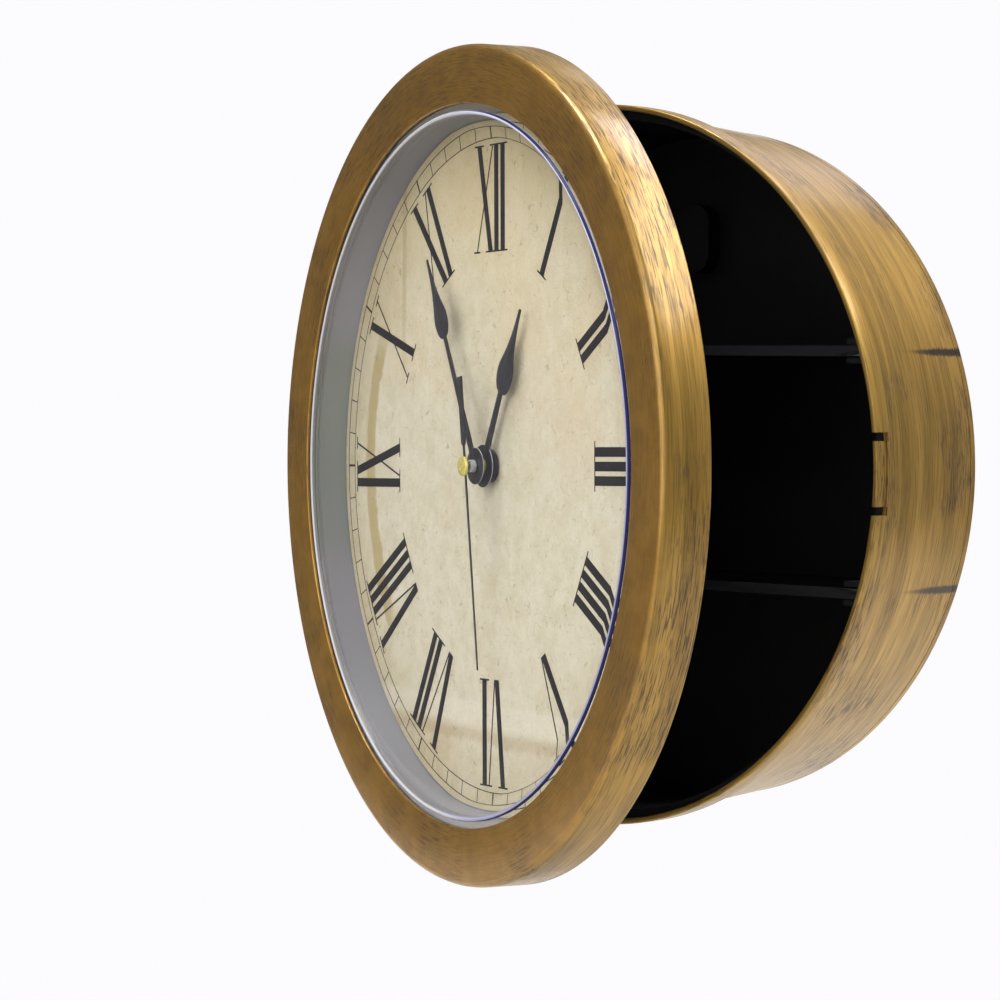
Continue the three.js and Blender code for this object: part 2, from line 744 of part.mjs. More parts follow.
function minuteArbor() {
  const y = [dialFrontY - minuteNutHeight + clearance, wellFloorY - 2 * clearance];
  return solid(tube(shaft.minuteRadius, shaft.minuteBore, y, smallFacets));
}

function handNut() {
  const front = dialFrontY - minuteNutHeight - minuteNut.height;
  const bore = shaft.secondRadius + clearance;
  return solid(tube(minuteNut.radius, bore, [front, front + minuteNut.height], smallFacets));
}

function secondArbor() {
  return solid(rod(shaft.secondRadius, [dialFrontY - capHeight + clearance, wellFloorY - clearance]));
}

const cap = { radius: 3, height: 0.8, crown: 0.35, edge: 0.7 };

function secondCap() {
  const rear = dialFrontY - capHeight;
  const front = rear - cap.height;
  return solid(turned([
    [0, front], [cap.radius - cap.edge, front + cap.crown / 3], [cap.radius, front + cap.crown],
    [cap.radius, rear], [0, rear],
  ], turnedFacets));
}

// Assembly
function handGroup(turn, ...pieces) {
  const group = new THREE.Group();
  group.rotation.y = THREE.MathUtils.degToRad(turn);
  group.add(...pieces);
  return group;
}

function caseAssembly() {
  const group = new THREE.Group();
  group.add(
    piece('case_drum', caseDrum(), antiqueGold),
    piece('back_cover', backCover(), blackPlastic),
    piece('upper_shelf', shelf(shelfHeight), blackPlastic),
    piece('lower_shelf', shelf(-shelfHeight), blackPlastic),
    piece('hinge_pin', hingePin(), steel),
    ...screws('cover_screw', 4, boss.pitch, clearance - headRecess, coverScrewLength, 45),
  );
  return group;
}

function doorAssembly() {
  const closed = new THREE.Group();
  closed.position.set(-hingeX, -hingeY, 0);
  const cupScrewSeatY = flangeRearY + clearance;
  closed.add(
    piece('door_bezel', doorBezel(), antiqueGold),
    piece('lens', lens(), clearPlastic),
    piece('dial_cup', dialCup(), greyPlastic),
    piece('dial_face', dialFace(), agedPaper),
    ...screws('cup_screw', 4, doorBoss.pitch, cupScrewSeatY, cupScrewLength, doorBoss.startTurn),
    piece('movement_case', movementCase(), blackPlastic),
    piece('movement_gasket', gasket(), greyRubber),
    piece('threaded_bush', threadedBush(), brass),
    piece('fixing_nut', fixingNut(), blackEnamel),
    piece('setting_knob', settingKnob(), greyPlastic),
    piece('battery_cell', batteryCell(), cellLabel),
    piece('battery_spring', batterySpring(), steel),
    piece('battery_plate', batteryPlate(), steel),
    handGroup(
      hourAngle,
      piece('hour_hand', handBlade(hourBlade, hourHeight), blackEnamel),
      piece('hour_tube', hourTube(), brass),
    ),
    handGroup(
      minuteAngle,
      piece('minute_hand', handBlade(minuteBlade, minuteHeight), blackEnamel),
      piece('minute_arbor', minuteArbor(), steel),
      piece('minute_nut', handNut(), steel),
    ),
    handGroup(
      secondAngle,
      piece('second_hand', secondNeedle(), blackEnamel),
      piece('second_arbor', secondArbor(), steel),
      piece('second_cap', secondCap(), brass),
    ),
  );
  const door = new THREE.Group();
  door.position.set(hingeX, hingeY, 0);
  door.rotation.z = THREE.MathUtils.degToRad(-openAngle);
  door.add(closed);
  return door;
}

const clock = new THREE.Group();
clock.add(caseAssembly(), doorAssembly());

export default clock;
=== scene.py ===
# %% [markdown]
# This file dresses a round wall clock whose dial door swings open on a shallow drum
# with two hidden shelves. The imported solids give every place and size, and each cell
# below makes one piece or one finish of the real object in Blender.

import json
import math
from functools import partial, reduce
from itertools import product

import bpy
from mathutils import Matrix, Vector


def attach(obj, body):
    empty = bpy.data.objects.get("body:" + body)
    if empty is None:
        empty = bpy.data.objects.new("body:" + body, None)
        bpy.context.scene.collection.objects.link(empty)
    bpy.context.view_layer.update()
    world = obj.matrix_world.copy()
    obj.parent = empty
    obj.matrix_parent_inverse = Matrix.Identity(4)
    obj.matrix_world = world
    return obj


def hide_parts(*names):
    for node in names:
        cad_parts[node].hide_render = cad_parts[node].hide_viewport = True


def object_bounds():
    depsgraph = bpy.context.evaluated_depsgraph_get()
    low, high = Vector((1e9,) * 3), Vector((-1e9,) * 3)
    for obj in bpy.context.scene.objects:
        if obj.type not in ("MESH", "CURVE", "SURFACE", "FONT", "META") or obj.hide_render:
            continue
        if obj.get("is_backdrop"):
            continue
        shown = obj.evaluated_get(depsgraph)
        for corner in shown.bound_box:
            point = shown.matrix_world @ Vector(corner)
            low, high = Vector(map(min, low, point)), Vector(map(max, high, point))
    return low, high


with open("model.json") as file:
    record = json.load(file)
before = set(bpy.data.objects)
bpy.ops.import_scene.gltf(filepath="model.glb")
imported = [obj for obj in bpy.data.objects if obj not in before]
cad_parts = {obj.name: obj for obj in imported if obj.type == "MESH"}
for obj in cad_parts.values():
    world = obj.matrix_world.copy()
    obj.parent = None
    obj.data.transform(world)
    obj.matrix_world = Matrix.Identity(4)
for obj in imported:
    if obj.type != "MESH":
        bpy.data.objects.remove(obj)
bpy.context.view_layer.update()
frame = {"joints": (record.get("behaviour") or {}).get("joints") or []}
MM = 0.001

# %% [markdown]
# The door stands a little open, so its pieces are modelled on the closed door, where
# the dial's axis is the Y axis, and then turned about the hinge. The hands turn once
# more about the dial's axis. A finished piece keeps no transform of its own.

# %% Where each body stands
joints = {joint["name"]: joint for joint in frame["joints"]}
hinge_at = Vector(joints["door_hinge"]["pos_m"])
OPEN_ANGLE = math.radians(-joints["door_hinge"]["range_deg"][0])
HAND_TURN = {"hour": 26.6, "minute": 331.3, "second": 171.2}

swing = (
    Matrix.Translation(hinge_at) @ Matrix.Rotation(-OPEN_ANGLE, 4, "Z") @ Matrix.Translation(-hinge_at)
)
stands = {"case": Matrix(), "door": swing, "knob": swing}
for hand, degrees in HAND_TURN.items():
    stands[hand] = swing @ Matrix.Rotation(math.radians(degrees), 4, "Y")
dial_at = swing.to_translation()
print("door stands open by", round(math.degrees(OPEN_ANGLE), 1), "degrees")

# %% [markdown]
# Depths run along Y from the wall, which is zero, towards the viewer, who is at minus Y.
# Radii are measured from the dial's axis. All are in millimetres, as on the drawing of
# the solids, so that each new piece sits where its solid does.

# %% Sizes shared by the pieces
STEP_Y = -46.5
LEDGE_Y = STEP_Y - 1.6
RIM_Y = STEP_Y - 7.2
DRUM_REAR_Y = -2.7
RIM_OUT = 109.6
RIM_IN = 107.9
DRUM_FRONT = 107.5
DRUM_REAR = 104.4
DRUM_WALL = 2.2
DOOR_REAR_Y = STEP_Y - 2
DOOR_FRONT_Y = DOOR_REAR_Y - 15.3
DOOR_OUT = 125
OPENING = 107.5
LENS_FRONT_Y = DOOR_FRONT_Y + 1.2
LENS_REAR_Y = LENS_FRONT_Y + 1.3
LENS_OUT = 109.9
DIAL_Y = DOOR_FRONT_Y + 13.4
DIAL_OUT = 105
FLANGE_Y = RIM_Y - 1.9
MOVEMENT_Y = DIAL_Y + 3.5
CUP_WALL = 1.2
FLANGE_OUT = 119.1
BUSH_HOLE = 3.7
SCREW_BORE = 1.6
CUP_PITCH = 115.5
COVER_PITCH = 98.8
QUARTERS = (45, 135, 225, 315)
HINGE_X = -122
HINGE_Y = DOOR_REAR_Y + 1
GAP = 0.3
print("door across in mm:", 2 * DOOR_OUT)

# %% [markdown]
# Most pieces are turned shapes. A wire is drawn point by point, as with the extrude
# key, and then spun about the dial's axis or filled and given its thickness. Both give
# clean rows of faces, which a stack of primitives would not.

# %% Drawing and turning
def select_only(piece):
    bpy.ops.object.select_all(action="DESELECT")
    piece.select_set(True)
    bpy.context.view_layer.objects.active = piece


def draw_wire(points):
    """Leaves edit mode open on a closed wire through points, in millimetres."""
    bpy.ops.mesh.primitive_plane_add(size=MM)
    wire = bpy.context.object
    bpy.ops.object.mode_set(mode="EDIT")
    bpy.ops.mesh.select_all(action="SELECT")
    bpy.ops.mesh.merge(type="CENTER")
    bpy.ops.transform.translate(value=Vector(points[0]) * MM)
    for here, there in zip(points, [*points[1:], points[0]]):
        step = (Vector(there) - Vector(here)) * MM
        bpy.ops.mesh.extrude_vertices_move(TRANSFORM_OT_translate={"value": step})
    bpy.ops.mesh.select_all(action="SELECT")
    bpy.ops.mesh.remove_doubles(threshold=0.001 * MM)
    return wire


def close_edit():
    """Merges doubles, turns the faces outwards and leaves edit mode."""
    bpy.ops.mesh.select_all(action="SELECT")
    bpy.ops.mesh.remove_doubles(threshold=0.001 * MM)
    bpy.ops.mesh.normals_make_consistent(inside=False)
    bpy.ops.object.mode_set(mode="OBJECT")


def lathe(profile, steps=192):
    """Spins a profile of (radius, depth) points about the dial's axis."""
    piece = draw_wire([(radius, depth, 0) for radius, depth in profile])
    bpy.ops.mesh.spin(steps=steps, angle=2 * math.pi, center=(0, 0, 0), axis=(0, 1, 0))
    close_edit()
    return piece


def stamp(outline, front, back):
    """Fills an outline of (x, z) points and gives it its thickness along Y."""
    piece = draw_wire([(x, front, z) for x, z in outline])
    bpy.ops.mesh.edge_face_add()
    bpy.ops.mesh.select_all(action="SELECT")
    move = {"value": (0, (back - front) * MM, 0)}
    bpy.ops.mesh.extrude_region_move(TRANSFORM_OT_translate=move)
    close_edit()
    return piece


def arc(radius, centre, start, end, steps=6):
    """Points of a fillet in (radius, depth), from one angle in degrees to another."""
    angles = [math.radians(start + (end - start) * i / steps) for i in range(steps + 1)]
    return [(centre[0] + radius * math.cos(a), centre[1] + radius * math.sin(a)) for a in angles]


def block(x, y, z):
    """A box between two corners, given as three pairs in millimetres."""
    centre = [sum(pair) / 2 * MM for pair in (x, y, z)]
    size = [abs(pair[1] - pair[0]) * MM for pair in (x, y, z)]
    bpy.ops.mesh.primitive_cube_add(size=1, location=centre, scale=size)
    bpy.ops.object.transform_apply()
    return bpy.context.object


def rod(radius, span, x=0, z=0, along="Y", y=0, vertices=48):
    """A cylinder along one axis, from span[0] to span[1] in millimetres."""
    middle = sum(span) / 2
    place = {"X": (middle, y, z), "Y": (x, middle, z), "Z": (x, y, middle)}[along]
    turn = {"X": (0, math.pi / 2, 0), "Y": (math.pi / 2, 0, 0), "Z": (0, 0, 0)}[along]
    bpy.ops.mesh.primitive_cylinder_add(
        vertices=vertices, radius=radius * MM, depth=abs(span[1] - span[0]) * MM,
        location=Vector(place) * MM, rotation=turn,
    )
    bpy.ops.object.transform_apply()
    return bpy.context.object


def hinge_rod(radius, low, high):
    """A rod on the hinge's upright axis."""
    return rod(radius, (low, high), x=HINGE_X, y=HINGE_Y, along="Z")


def combine(piece, tool, operation="UNION"):
    """Adds a tool's shape to a piece, cuts it away or keeps what both share."""
    change = piece.modifiers.new("shape", "BOOLEAN")
    change.operation = operation
    change.solver = "EXACT"
    change.object = tool
    select_only(piece)
    bpy.ops.object.modifier_apply(modifier=change.name)
    bpy.data.objects.remove(tool)
    return piece


def cut_away(piece, tool):
    return combine(piece, tool, "DIFFERENCE")


def soften(piece, width):
    """Rounds the edges that turn by more than 50 degrees."""
    bevel = piece.modifiers.new("edges", "BEVEL")
    bevel.width = width * MM
    bevel.segments = 2
    bevel.limit_method = "ANGLE"
    bevel.angle_limit = math.radians(50)
    select_only(piece)
    bpy.ops.object.modifier_apply(modifier=bevel.name)


def settle(piece, move):
    """Moves a piece and writes its place into its mesh."""
    piece.matrix_world = move @ piece.matrix_world
    select_only(piece)
    bpy.ops.object.transform_apply()
    return piece


def turned(piece, degrees):
    return settle(piece, Matrix.Rotation(math.radians(degrees), 4, "Y"))


def deliver(piece, name, body, materials, nodes=(), smooth=35):
    """Stands a piece on its body, finishes it and hides the solids that it stands for."""
    settle(piece, stands[body])
    bpy.ops.object.shade_smooth_by_angle(angle=math.radians(smooth))
    piece.name = piece.data.name = name
    piece.data.materials.clear()
    for material in materials:
        piece.data.materials.append(material)
    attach(piece, body)
    if nodes:
        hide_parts(*nodes)
    print(f"{name}: {len(piece.data.polygons)} faces, rides on {body}")


def paint_faces(piece, body, pick):
    """Gives each face the material that pick chooses from its place on the closed clock."""
    back = stands[body].inverted()
    for face in piece.data.polygons:
        face.material_index = int(pick(back @ face.center / MM, back.to_3x3() @ face.normal))
    marked = sum(face.material_index > 0 for face in piece.data.polygons)
    print(f"{piece.name}: {marked} faces in a second material")


print("drawing tools ready")

# %% [markdown]
# Colours are written as sRGB hex values, as a paint chart gives them, and Blender's
# sockets want linear values, so one function turns them. One more adds a node with its
# settings and links, which keeps each finish readable as a recipe.

# %% Colour and nodes
SOFT = {"interpolation_type": "SMOOTHSTEP"}
RGBA = {"data_type": "RGBA"}


def linear(hex_colour):
    channels = [int(hex_colour[i:i + 2], 16) / 255 for i in (1, 3, 5)]
    return (*[c / 12.92 if c <= 0.04045 else ((c + 0.055) / 1.055) ** 2.4 for c in channels], 1)


def plug(socket, value):
    """Links a node or one of its sockets to a socket, or sets a colour or a plain value."""
    if isinstance(value, bpy.types.Node):
        value = next(output for output in value.outputs if output.enabled)
    if isinstance(value, bpy.types.NodeSocket):
        socket.id_data.links.new(value, socket)
    else:
        socket.default_value = linear(value) if isinstance(value, str) else value


def fill(node, **sockets):
    """Plugs values into named sockets, where a low line stands for a space."""
    for name, value in sockets.items():
        plug(node.inputs[name.replace("_", " ")], value)
    return node


def add_node(tree, kind, *values, **settings):
    """Adds a node with its settings and plugs values into its open sockets in order."""
    node = tree.nodes.new("ShaderNode" + kind)
    for name, value in settings.items():
        setattr(node, name, value)
    for socket, value in zip([socket for socket in node.inputs if socket.enabled], values):
        plug(socket, value)
    return node


def new_finish(name, **values):
    """A material, what adds a node to it, and its Principled shader with plain values."""
    finish = bpy.data.materials.new(name)
    finish.use_nodes = True
    tree = finish.node_tree
    return finish, partial(add_node, tree), fill(tree.nodes["Principled BSDF"], **values)


def all_of(add, *shares):
    """The product of several shares."""
    product = shares[0]
    for share in shares[1:]:
        product = add("Math", product, share, operation="MULTIPLY")
    return product


def near_line(add, value, line, half, soft):
    """One within half of a line and zero beyond the soft edge outside it."""
    off = add("Math", add("Math", value, line * MM, operation="SUBTRACT"), operation="ABSOLUTE")
    return add("MapRange", off, half * MM, (half + soft) * MM, 1.0, 0.0, **SOFT)


def lay_over(add, ground, layers):
    """Colours a ground with layers of (share, hex colour), the last on top."""
    for share, colour in layers:
        ground = add("Mix", share, ground, colour, **RGBA)
    return ground


def place_on_piece(add, body):
    """Object coordinates brought to the axis of the drum or of the dial."""
    where = add("TexCoord").outputs["Object"]
    if body == "case":
        return where
    return add("Mapping", where, dial_at, (0, 0, -OPEN_ANGLE), vector_type="TEXTURE")


def from_axis(add, where):
    """The vector from the axis to a point, and its length."""
    flat = add("VectorMath", where, (1, 0, 1), operation="MULTIPLY")
    return flat, add("VectorMath", flat, operation="LENGTH")


print("white turns to", linear("#FFFFFF"))

# %% [markdown]
# The ring and the drum are ABS mouldings with an antique gold lacquer, rubbed with a
# brown glaze along the circumference. The hairlines follow the ring, so their pattern
# is read slowly along the circumference and fast across it, with no seam. On the drum,
# painted shade stands for the sink marks that the shelves' rails leave.

# %% Antique gold lacquer
HAIRLINE = 0.5 * MM
BAND = 4 * MM
DASH = 0.45 * MM
PATCH = 30 * MM
MOTTLE = 9 * MM
SINK_SHADE_Z = 35 * MM
SINK_SHADE_HALF = 1.5 * MM


def sink_mark_shade(add, parts, dashes):
    """Painted shade of the sink marks that the rails leave beside the shelves' right ends, ragged and thinner
    towards the front.
    """
    x, y, z = parts.outputs
    off = add("Math", add("Math", z, operation="ABSOLUTE"), SINK_SHADE_Z, operation="SUBTRACT")
    off = add("Math", off, operation="ABSOLUTE")
    ragged = add("Math", dashes, 2.0 * MM, -1.0 * MM, operation="MULTIPLY_ADD")
    taper = add("MapRange", y, -40 * MM, -8 * MM, 1.3 * MM, 0.0, **SOFT)
    off = add("Math", add("Math", off, ragged, operation="ADD"), taper, operation="ADD")
    return all_of(
        add, add("MapRange", off, SINK_SHADE_HALF - 0.8 * MM, SINK_SHADE_HALF, 1.0, 0.0, **SOFT),
        add("MapRange", y, -36 * MM, -14 * MM, **SOFT), add("MapRange", x, 60 * MM, 90 * MM, **SOFT), 0.95,
    )


def antique_gold(body, name):
    finish, add, shader = new_finish(
        name, Metallic=0.66, IOR=1.5, Coat_Weight=0.5, Coat_Roughness=0.18, Coat_IOR=1.5,
    )
    where = place_on_piece(add, body)
    parts = add("SeparateXYZ", where)
    depth, height = parts.outputs[1:]
    flat, radius = from_axis(add, where)
    around = add("SeparateXYZ", add("VectorMath", flat, operation="NORMALIZE")).outputs
    across = add("Math", radius, depth, operation="ADD")

    def stroke(width, length, shift, detail=2.0, roughness=0.55):
        """Noise that is as fine as width across the grain and as long as length along it."""
        share = DOOR_OUT * MM / length
        vector = add(
            "CombineXYZ", add("Math", around[0], share, shift, operation="MULTIPLY_ADD"),
            all_of(add, across, 1 / width), all_of(add, around[2], share),
        )
        return add("TexNoise", vector, 1.0, detail, roughness)

    hairs = stroke(HAIRLINE, 18 * MM, 3.0)
    bands = stroke(BAND, 70 * MM, 11.0, 3.0)
    dashes = stroke(DASH, 7 * MM, 7.0, 2.0, 0.5)
    clouds = add("TexNoise", where, 1 / PATCH, 3.0, 0.5)
    mottle = add("TexNoise", where, 1 / MOTTLE, 5.0, 0.7)

    on_side = add("MapRange", depth, DOOR_FRONT_Y * MM, (DOOR_FRONT_Y + 1.6) * MM, **SOFT)
    side_gold = add("Mix", add("MapRange", bands, 0.3, 0.7, **SOFT), "#8F7028", "#B49042", **RGBA)
    face_gold = add("Mix", add("MapRange", mottle, 0.35, 0.65, **SOFT), "#99722E", "#AC8136", **RGBA)
    gold = add("Mix", on_side, face_gold, side_gold, **RGBA)
    glaze = all_of(
        add, add("MapRange", hairs, 0.45, 0.7, 0.0, 0.55, **SOFT),
        add("MapRange", on_side, 0, 1, 0.35, 1, **SOFT),
    )
    lift = add("MapRange", height, 60 * MM, 110 * MM, 0.0, 0.14 if body == "door" else 0.04, **SOFT)
    rubbed = add("Math", clouds, lift, operation="ADD")
    wear = all_of(
        add, add("MapRange", dashes, 0.5, 0.6, **SOFT),
        add("MapRange", rubbed, 0.44, 0.62, 0.08, 1.0, **SOFT),
        add("MapRange", on_side, 0, 1, 0.7, 1, **SOFT),
    )
    layers = [(glaze, "#5E4416"), (add("MapRange", clouds, 0.45, 0.75, 0.0, 0.35, **SOFT), "#665033")]
    # On the drum, painted shade of the rails' sink marks is laid over the gold.
    if body == "case":
        layers.append((sink_mark_shade(add, parts, dashes), "#1C1715"))
    gold = lay_over(add, gold, [*layers, (all_of(add, wear, 0.7), "#3E2F26")])
    dull = add("MapRange", hairs, 0.3, 0.8, 0.36, 0.48, **SOFT)
    dull = add("Math", wear, 0.25, dull, operation="MULTIPLY_ADD")
    bump = fill(add("Bump"), Height=hairs, Strength=0.15, Distance=0.08 * MM)
    fill(shader, Base_Color=gold, Roughness=dull, Normal=bump)
    return finish


case_gold = antique_gold("case", "antique gold lacquer on the drum")
door_gold = antique_gold("door", "antique gold lacquer on the door")
print("gold hairlines are", HAIRLINE / MM, "mm wide")

# %% [markdown]
# The inside of the drum is bare black ABS with the fine grain of a spark-eroded mould,
# and the shelves are the same plastic from a polished mould, so they shine. A fine
# noise in the bump gives the grain, drawn a little coarser than real so that it shows.

# %% Black and grey ABS
def moulded_abs(name, colours, roughness, grain, body="case", shine=0.5):
    finish, add, shader = new_finish(name, IOR=1.53, Specular_IOR_Level=shine)
    where = place_on_piece(add, body)
    fine = add("TexNoise", where, 1 / (0.8 * MM), 2.0, 0.55)
    broad = add("TexNoise", where, 1 / (35 * MM), 2.0, 0.55)
    fill(
        shader,
        Base_Color=add("Mix", add("MapRange", broad, 0.35, 0.65, **SOFT), *colours, **RGBA),
        Roughness=add("MapRange", fine, 0.3, 0.7, roughness - 0.04, roughness + 0.06, **SOFT),
        Normal=fill(add("Bump"), Height=fine, Strength=grain, Distance=0.05 * MM),
    )
    return finish


black_grained = moulded_abs("spark-grained black ABS", ("#020203", "#040406"), 0.55, 0.5, shine=0.3)
black_polished = moulded_abs("polished black ABS", ("#030304", "#050507"), 0.12, 0.02)
black_movement = moulded_abs("satin black ABS of the movement", ("#141416", "#1A1A1D"), 0.4, 0.3, "door")
grey_cup = moulded_abs("satin grey ABS of the dial cup", ("#868690", "#8C8B95"), 0.36, 0.06, "door")
# The reveal's grey is given painted reflections and painted shade further down.
reveal_with_painted_light = moulded_abs("satin grey ABS of the reveal", ("#95949C", "#9997A2"), 0.36, 0.06, "door")


def paint_light_on_reveal(finish):
    """Paints the room's reflections on the reveal, a greenish band at mid height and a pink one under it, and
    painted shade that darkens it towards the bottom and the top.
    """
    add = partial(add_node, finish.node_tree)
    shader = finish.node_tree.nodes["Principled BSDF"]
    plain = shader.inputs["Base Color"].links[0].from_node
    height = add("SeparateXYZ", place_on_piece(add, "door")).outputs[2]
    fill(shader, Base_Color=lay_over(add, plain, (
        (all_of(add, near_line(add, height, 3, 26, 18), 0.8), "#848A81"),
        (all_of(add, near_line(add, height, -45, 6, 12), 0.15), "#9A8890"),
        (add("MapRange", height, -50 * MM, 40 * MM, 0.65, 0.0, **SOFT), "#66686B"),
        (add("MapRange", height, 55 * MM, 100 * MM, 0.0, 0.4, **SOFT), "#66655F"),
    )))


paint_light_on_reveal(reveal_with_painted_light)
print("ABS finishes made")

# %% [markdown]
# The dial is printed paper made to look aged: a cream ground with mottling a few
# millimetres wide, yellower towards the top, with fibres, specks, a fold and the brown
# tide marks that the photograph shows on its left and at its foot. Everything is read
# from the dial's own axis, so the stains stay put when the door swings.

# %% Aged dial paper
def aged_paper():
    finish, add, shader = new_finish("matt aged dial paper", Roughness=0.85, IOR=1.5)
    where = place_on_piece(add, "door")
    radius = from_axis(add, where)[1]
    x, _, z = add("SeparateXYZ", where).outputs
    mottle, stain, grain, speck, curl, patch = (
        add("TexNoise", where, 1 / (size * MM), detail, roughness) for size, detail, roughness in (
            (6, 5.0, 0.65), (42, 3.0, 0.55), (0.9, 3.0, 0.6),
            (1.3, 1.0, 0.55), (5, 1.0, 0.55), (3.5, 1.0, 0.55),
        )
    )
    waver = add("Math", mottle, 4 * MM, -2 * MM, operation="MULTIPLY_ADD")
    wavy_radius = add("Math", radius, waver, operation="ADD")
    wavy_height = add("Math", z, waver, operation="ADD")
    stained_radius = add("Math", stain, 26 * MM, radius, operation="MULTIPLY_ADD")
    stained_height = add("Math", stain, 90 * MM, z, operation="MULTIPLY_ADD")

    fold = all_of(add, near_line(add, x, -62, 0.6, 1.6), add("MapRange", z, 10 * MM, 60 * MM, **SOFT))
    tide = all_of(
        add, near_line(add, wavy_radius, 86, 2.6, 1.4), add("MapRange", x, -66 * MM, -72 * MM, **SOFT),
        add("MapRange", z, 48 * MM, 28 * MM, **SOFT), add("MapRange", z, -66 * MM, -50 * MM, **SOFT),
    )
    fibre = all_of(
        add, near_line(add, all_of(add, curl, 40 * MM), 20, 0.12, 0.3),
        add("MapRange", patch, 0.5, 0.58, **SOFT),
    )
    ground = add("Mix", add("MapRange", mottle, 0.3, 0.72, **SOFT), "#D6CFBA", "#C8BFA5", **RGBA)
    layers = (
        (add("MapRange", stained_height, 50 * MM, 150 * MM, **SOFT), 0.45, "#E0CA92"),
        (add("MapRange", stain, 0.5, 0.7, **SOFT), 0.3, "#CDB592"),
        (add("MapRange", stained_radius, 90 * MM, 120 * MM, **SOFT), 0.4, "#A8945E"),
        (near_line(add, z, -75, 2.5, 2.0), 0.4, "#E2DCCB"),
        (near_line(add, wavy_height, -82, 0.6, 2.4), 0.4, "#A98E66"),
        (fold, 0.35, "#8E8458"),
        (tide, 0.65, "#A58E48"),
        (fibre, 0.4, "#7C6A44"),
        (add("MapRange", speck, 0.72, 0.8, **SOFT), 0.45, "#6E5C38"),
        (add("MapRange", grain, 0.5, 0.75, **SOFT), 0.22, "#94855A"),
    )
    ground = lay_over(add, ground, [(all_of(add, share, most), colour) for share, most, colour in layers])
    bump = fill(add("Bump"), Height=grain, Strength=0.1, Distance=0.05 * MM)
    fill(shader, Base_Color=ground, Normal=bump)
    return finish


dial_paper = aged_paper()
print("paper made")

# %% [markdown]
# Small finishes: printing ink, the slate-black enamel of the hands, brass, plated
# steel, rubber and the cell's film. Each takes a little noise in its roughness and its
# colour, because no real surface is even all over.

# %% Ink, enamel and small metals
def small_finish(name, colours, roughness, spread, size, body="door", **values):
    finish, add, shader = new_finish(name, **values)
    mottle = add("TexNoise", place_on_piece(add, body), 1 / (size * MM), 3.0, 0.55)
    fill(
        shader,
        Base_Color=add("Mix", add("MapRange", mottle, 0.3, 0.7, **SOFT), *colours, **RGBA),
        Roughness=add("MapRange", mottle, 0.3, 0.7, roughness - spread, roughness + spread, **SOFT),
    )
    return finish


ZINC = ("#B4B4B6", "#9E9FA2")
ink = small_finish("printed ink on paper", ("#1A171A", "#252226"), 0.7, 0.05, 3, Specular_IOR_Level=0.15)
slate_enamel = small_finish("slate-black enamel on aluminium", ("#1F1F26", "#2B2B33"), 0.38, 0.05, 4)
bare_edge = small_finish("bare cut edge of the aluminium", ("#BDBCC8", "#A9A8B4"), 0.4, 0.05, 2, Metallic=0.3)
nickel = small_finish("nickel-plated hand nut", ("#CFCFD4", "#B5B5BA"), 0.35, 0.06, 1, Metallic=0.35)
brass = small_finish("polished brass", ("#E4D884", "#D6C668"), 0.24, 0.04, 2, Metallic=0.4)
plated_steel = small_finish("zinc-plated steel", ZINC, 0.32, 0.06, 2, Metallic=1.0)
case_steel = small_finish("zinc-plated steel of the case", ZINC, 0.32, 0.06, 2, "case", Metallic=1.0)
black_nut = small_finish("blackened steel nut", ("#26252A", "#323138"), 0.42, 0.05, 2, Metallic=0.3)
rubber = small_finish("black rubber washer", ("#1B1B1C", "#242425"), 0.85, 0.05, 2)
cell_film = small_finish("printed film on the cell", ("#2A2C31", "#34373D"), 0.3, 0.04, 6, Metallic=0.2)
cell_gold = small_finish(
    "copper-coloured film on the cell", ("#B5763E", "#C08347"), 0.28, 0.04, 6, Metallic=0.6,
)
print("small finishes made")

# %% [markdown]
# The lens is clear cast acrylic, which bends light like glass. A lamp's ray passes it
# as if it weren't there, through a Transparent shader picked by Light Path, because
# Blender would otherwise shade the dial black behind it. The bead at its edge has the
# blue violet line of refraction and the pale highlights painted on, along the opening.

# %% Clear acrylic and its edge
BEAD = 0.75
BEAD_RISE = 1.1
BEAD_R = OPENING - 2.6


def clear_acrylic():
    finish, add, shader = new_finish(
        "polished clear acrylic", Base_Color="#FFFFFF", Roughness=0.0, IOR=1.49, Transmission_Weight=1.0,
    )
    shadow = add("LightPath").outputs["Is Shadow Ray"]
    passing = add("MixShader", shadow, shader, add("BsdfTransparent"))
    fill(finish.node_tree.nodes["Material Output"], Surface=passing)
    return finish


def acrylic_rim_painted_light():
    """Paints the bead's light: on the right a violet refraction line between pale painted highlights, on the
    left a pale painted highlight.
    """
    finish, add, shader = new_finish(
        "polished rim of the acrylic", Roughness=0.12, IOR=1.49, Specular_IOR_Level=0.12,
    )
    where = place_on_piece(add, "door")
    radius = from_axis(add, where)[1]
    x, _, z = add("SeparateXYZ", where).outputs
    out = all_of(add, add("Math", radius, BEAD_R * MM, operation="SUBTRACT"), 1 / (BEAD * MM))
    lift = add("MapRange", z, 0, 60 * MM, 0.0, 0.2, **SOFT)
    raised = add("Math", out, lift, operation="ADD")
    # The violet line is painted refraction and the pale colours are painted highlights.
    violet = all_of(
        add, add("MapRange", raised, 0.45, 0.55, **SOFT), add("MapRange", raised, 1.1, 1.2, 1.0, 0.0, **SOFT),
    )
    painted_pale_highlight = add("MapRange", z, 10 * MM, 60 * MM, **SOFT)
    right = lay_over(add, "#9C9DBE", ((painted_pale_highlight, "#D5D8F0"), (violet, "#34335F")))
    left = add("Mix", add("MapRange", out, -0.8, -0.6, **SOFT), "#7C7F7C", "#C6C4CC", **RGBA)
    on_right = add("MapRange", x, -25 * MM, 25 * MM, **SOFT)
    fill(shader, Base_Color=add("Mix", on_right, left, right, **RGBA))
    return finish


lens_clear = clear_acrylic()
lens_rim_painted_light = acrylic_rim_painted_light()
print("acrylic made")

# %% [markdown]
# The bezel is one turned ring with a softly rounded outer edge and a thin lip that
# holds the lens. At its back it is an open channel with ribs and screw bosses, as a
# moulding of this size is, and two hinge knuckles hang from its skirt.

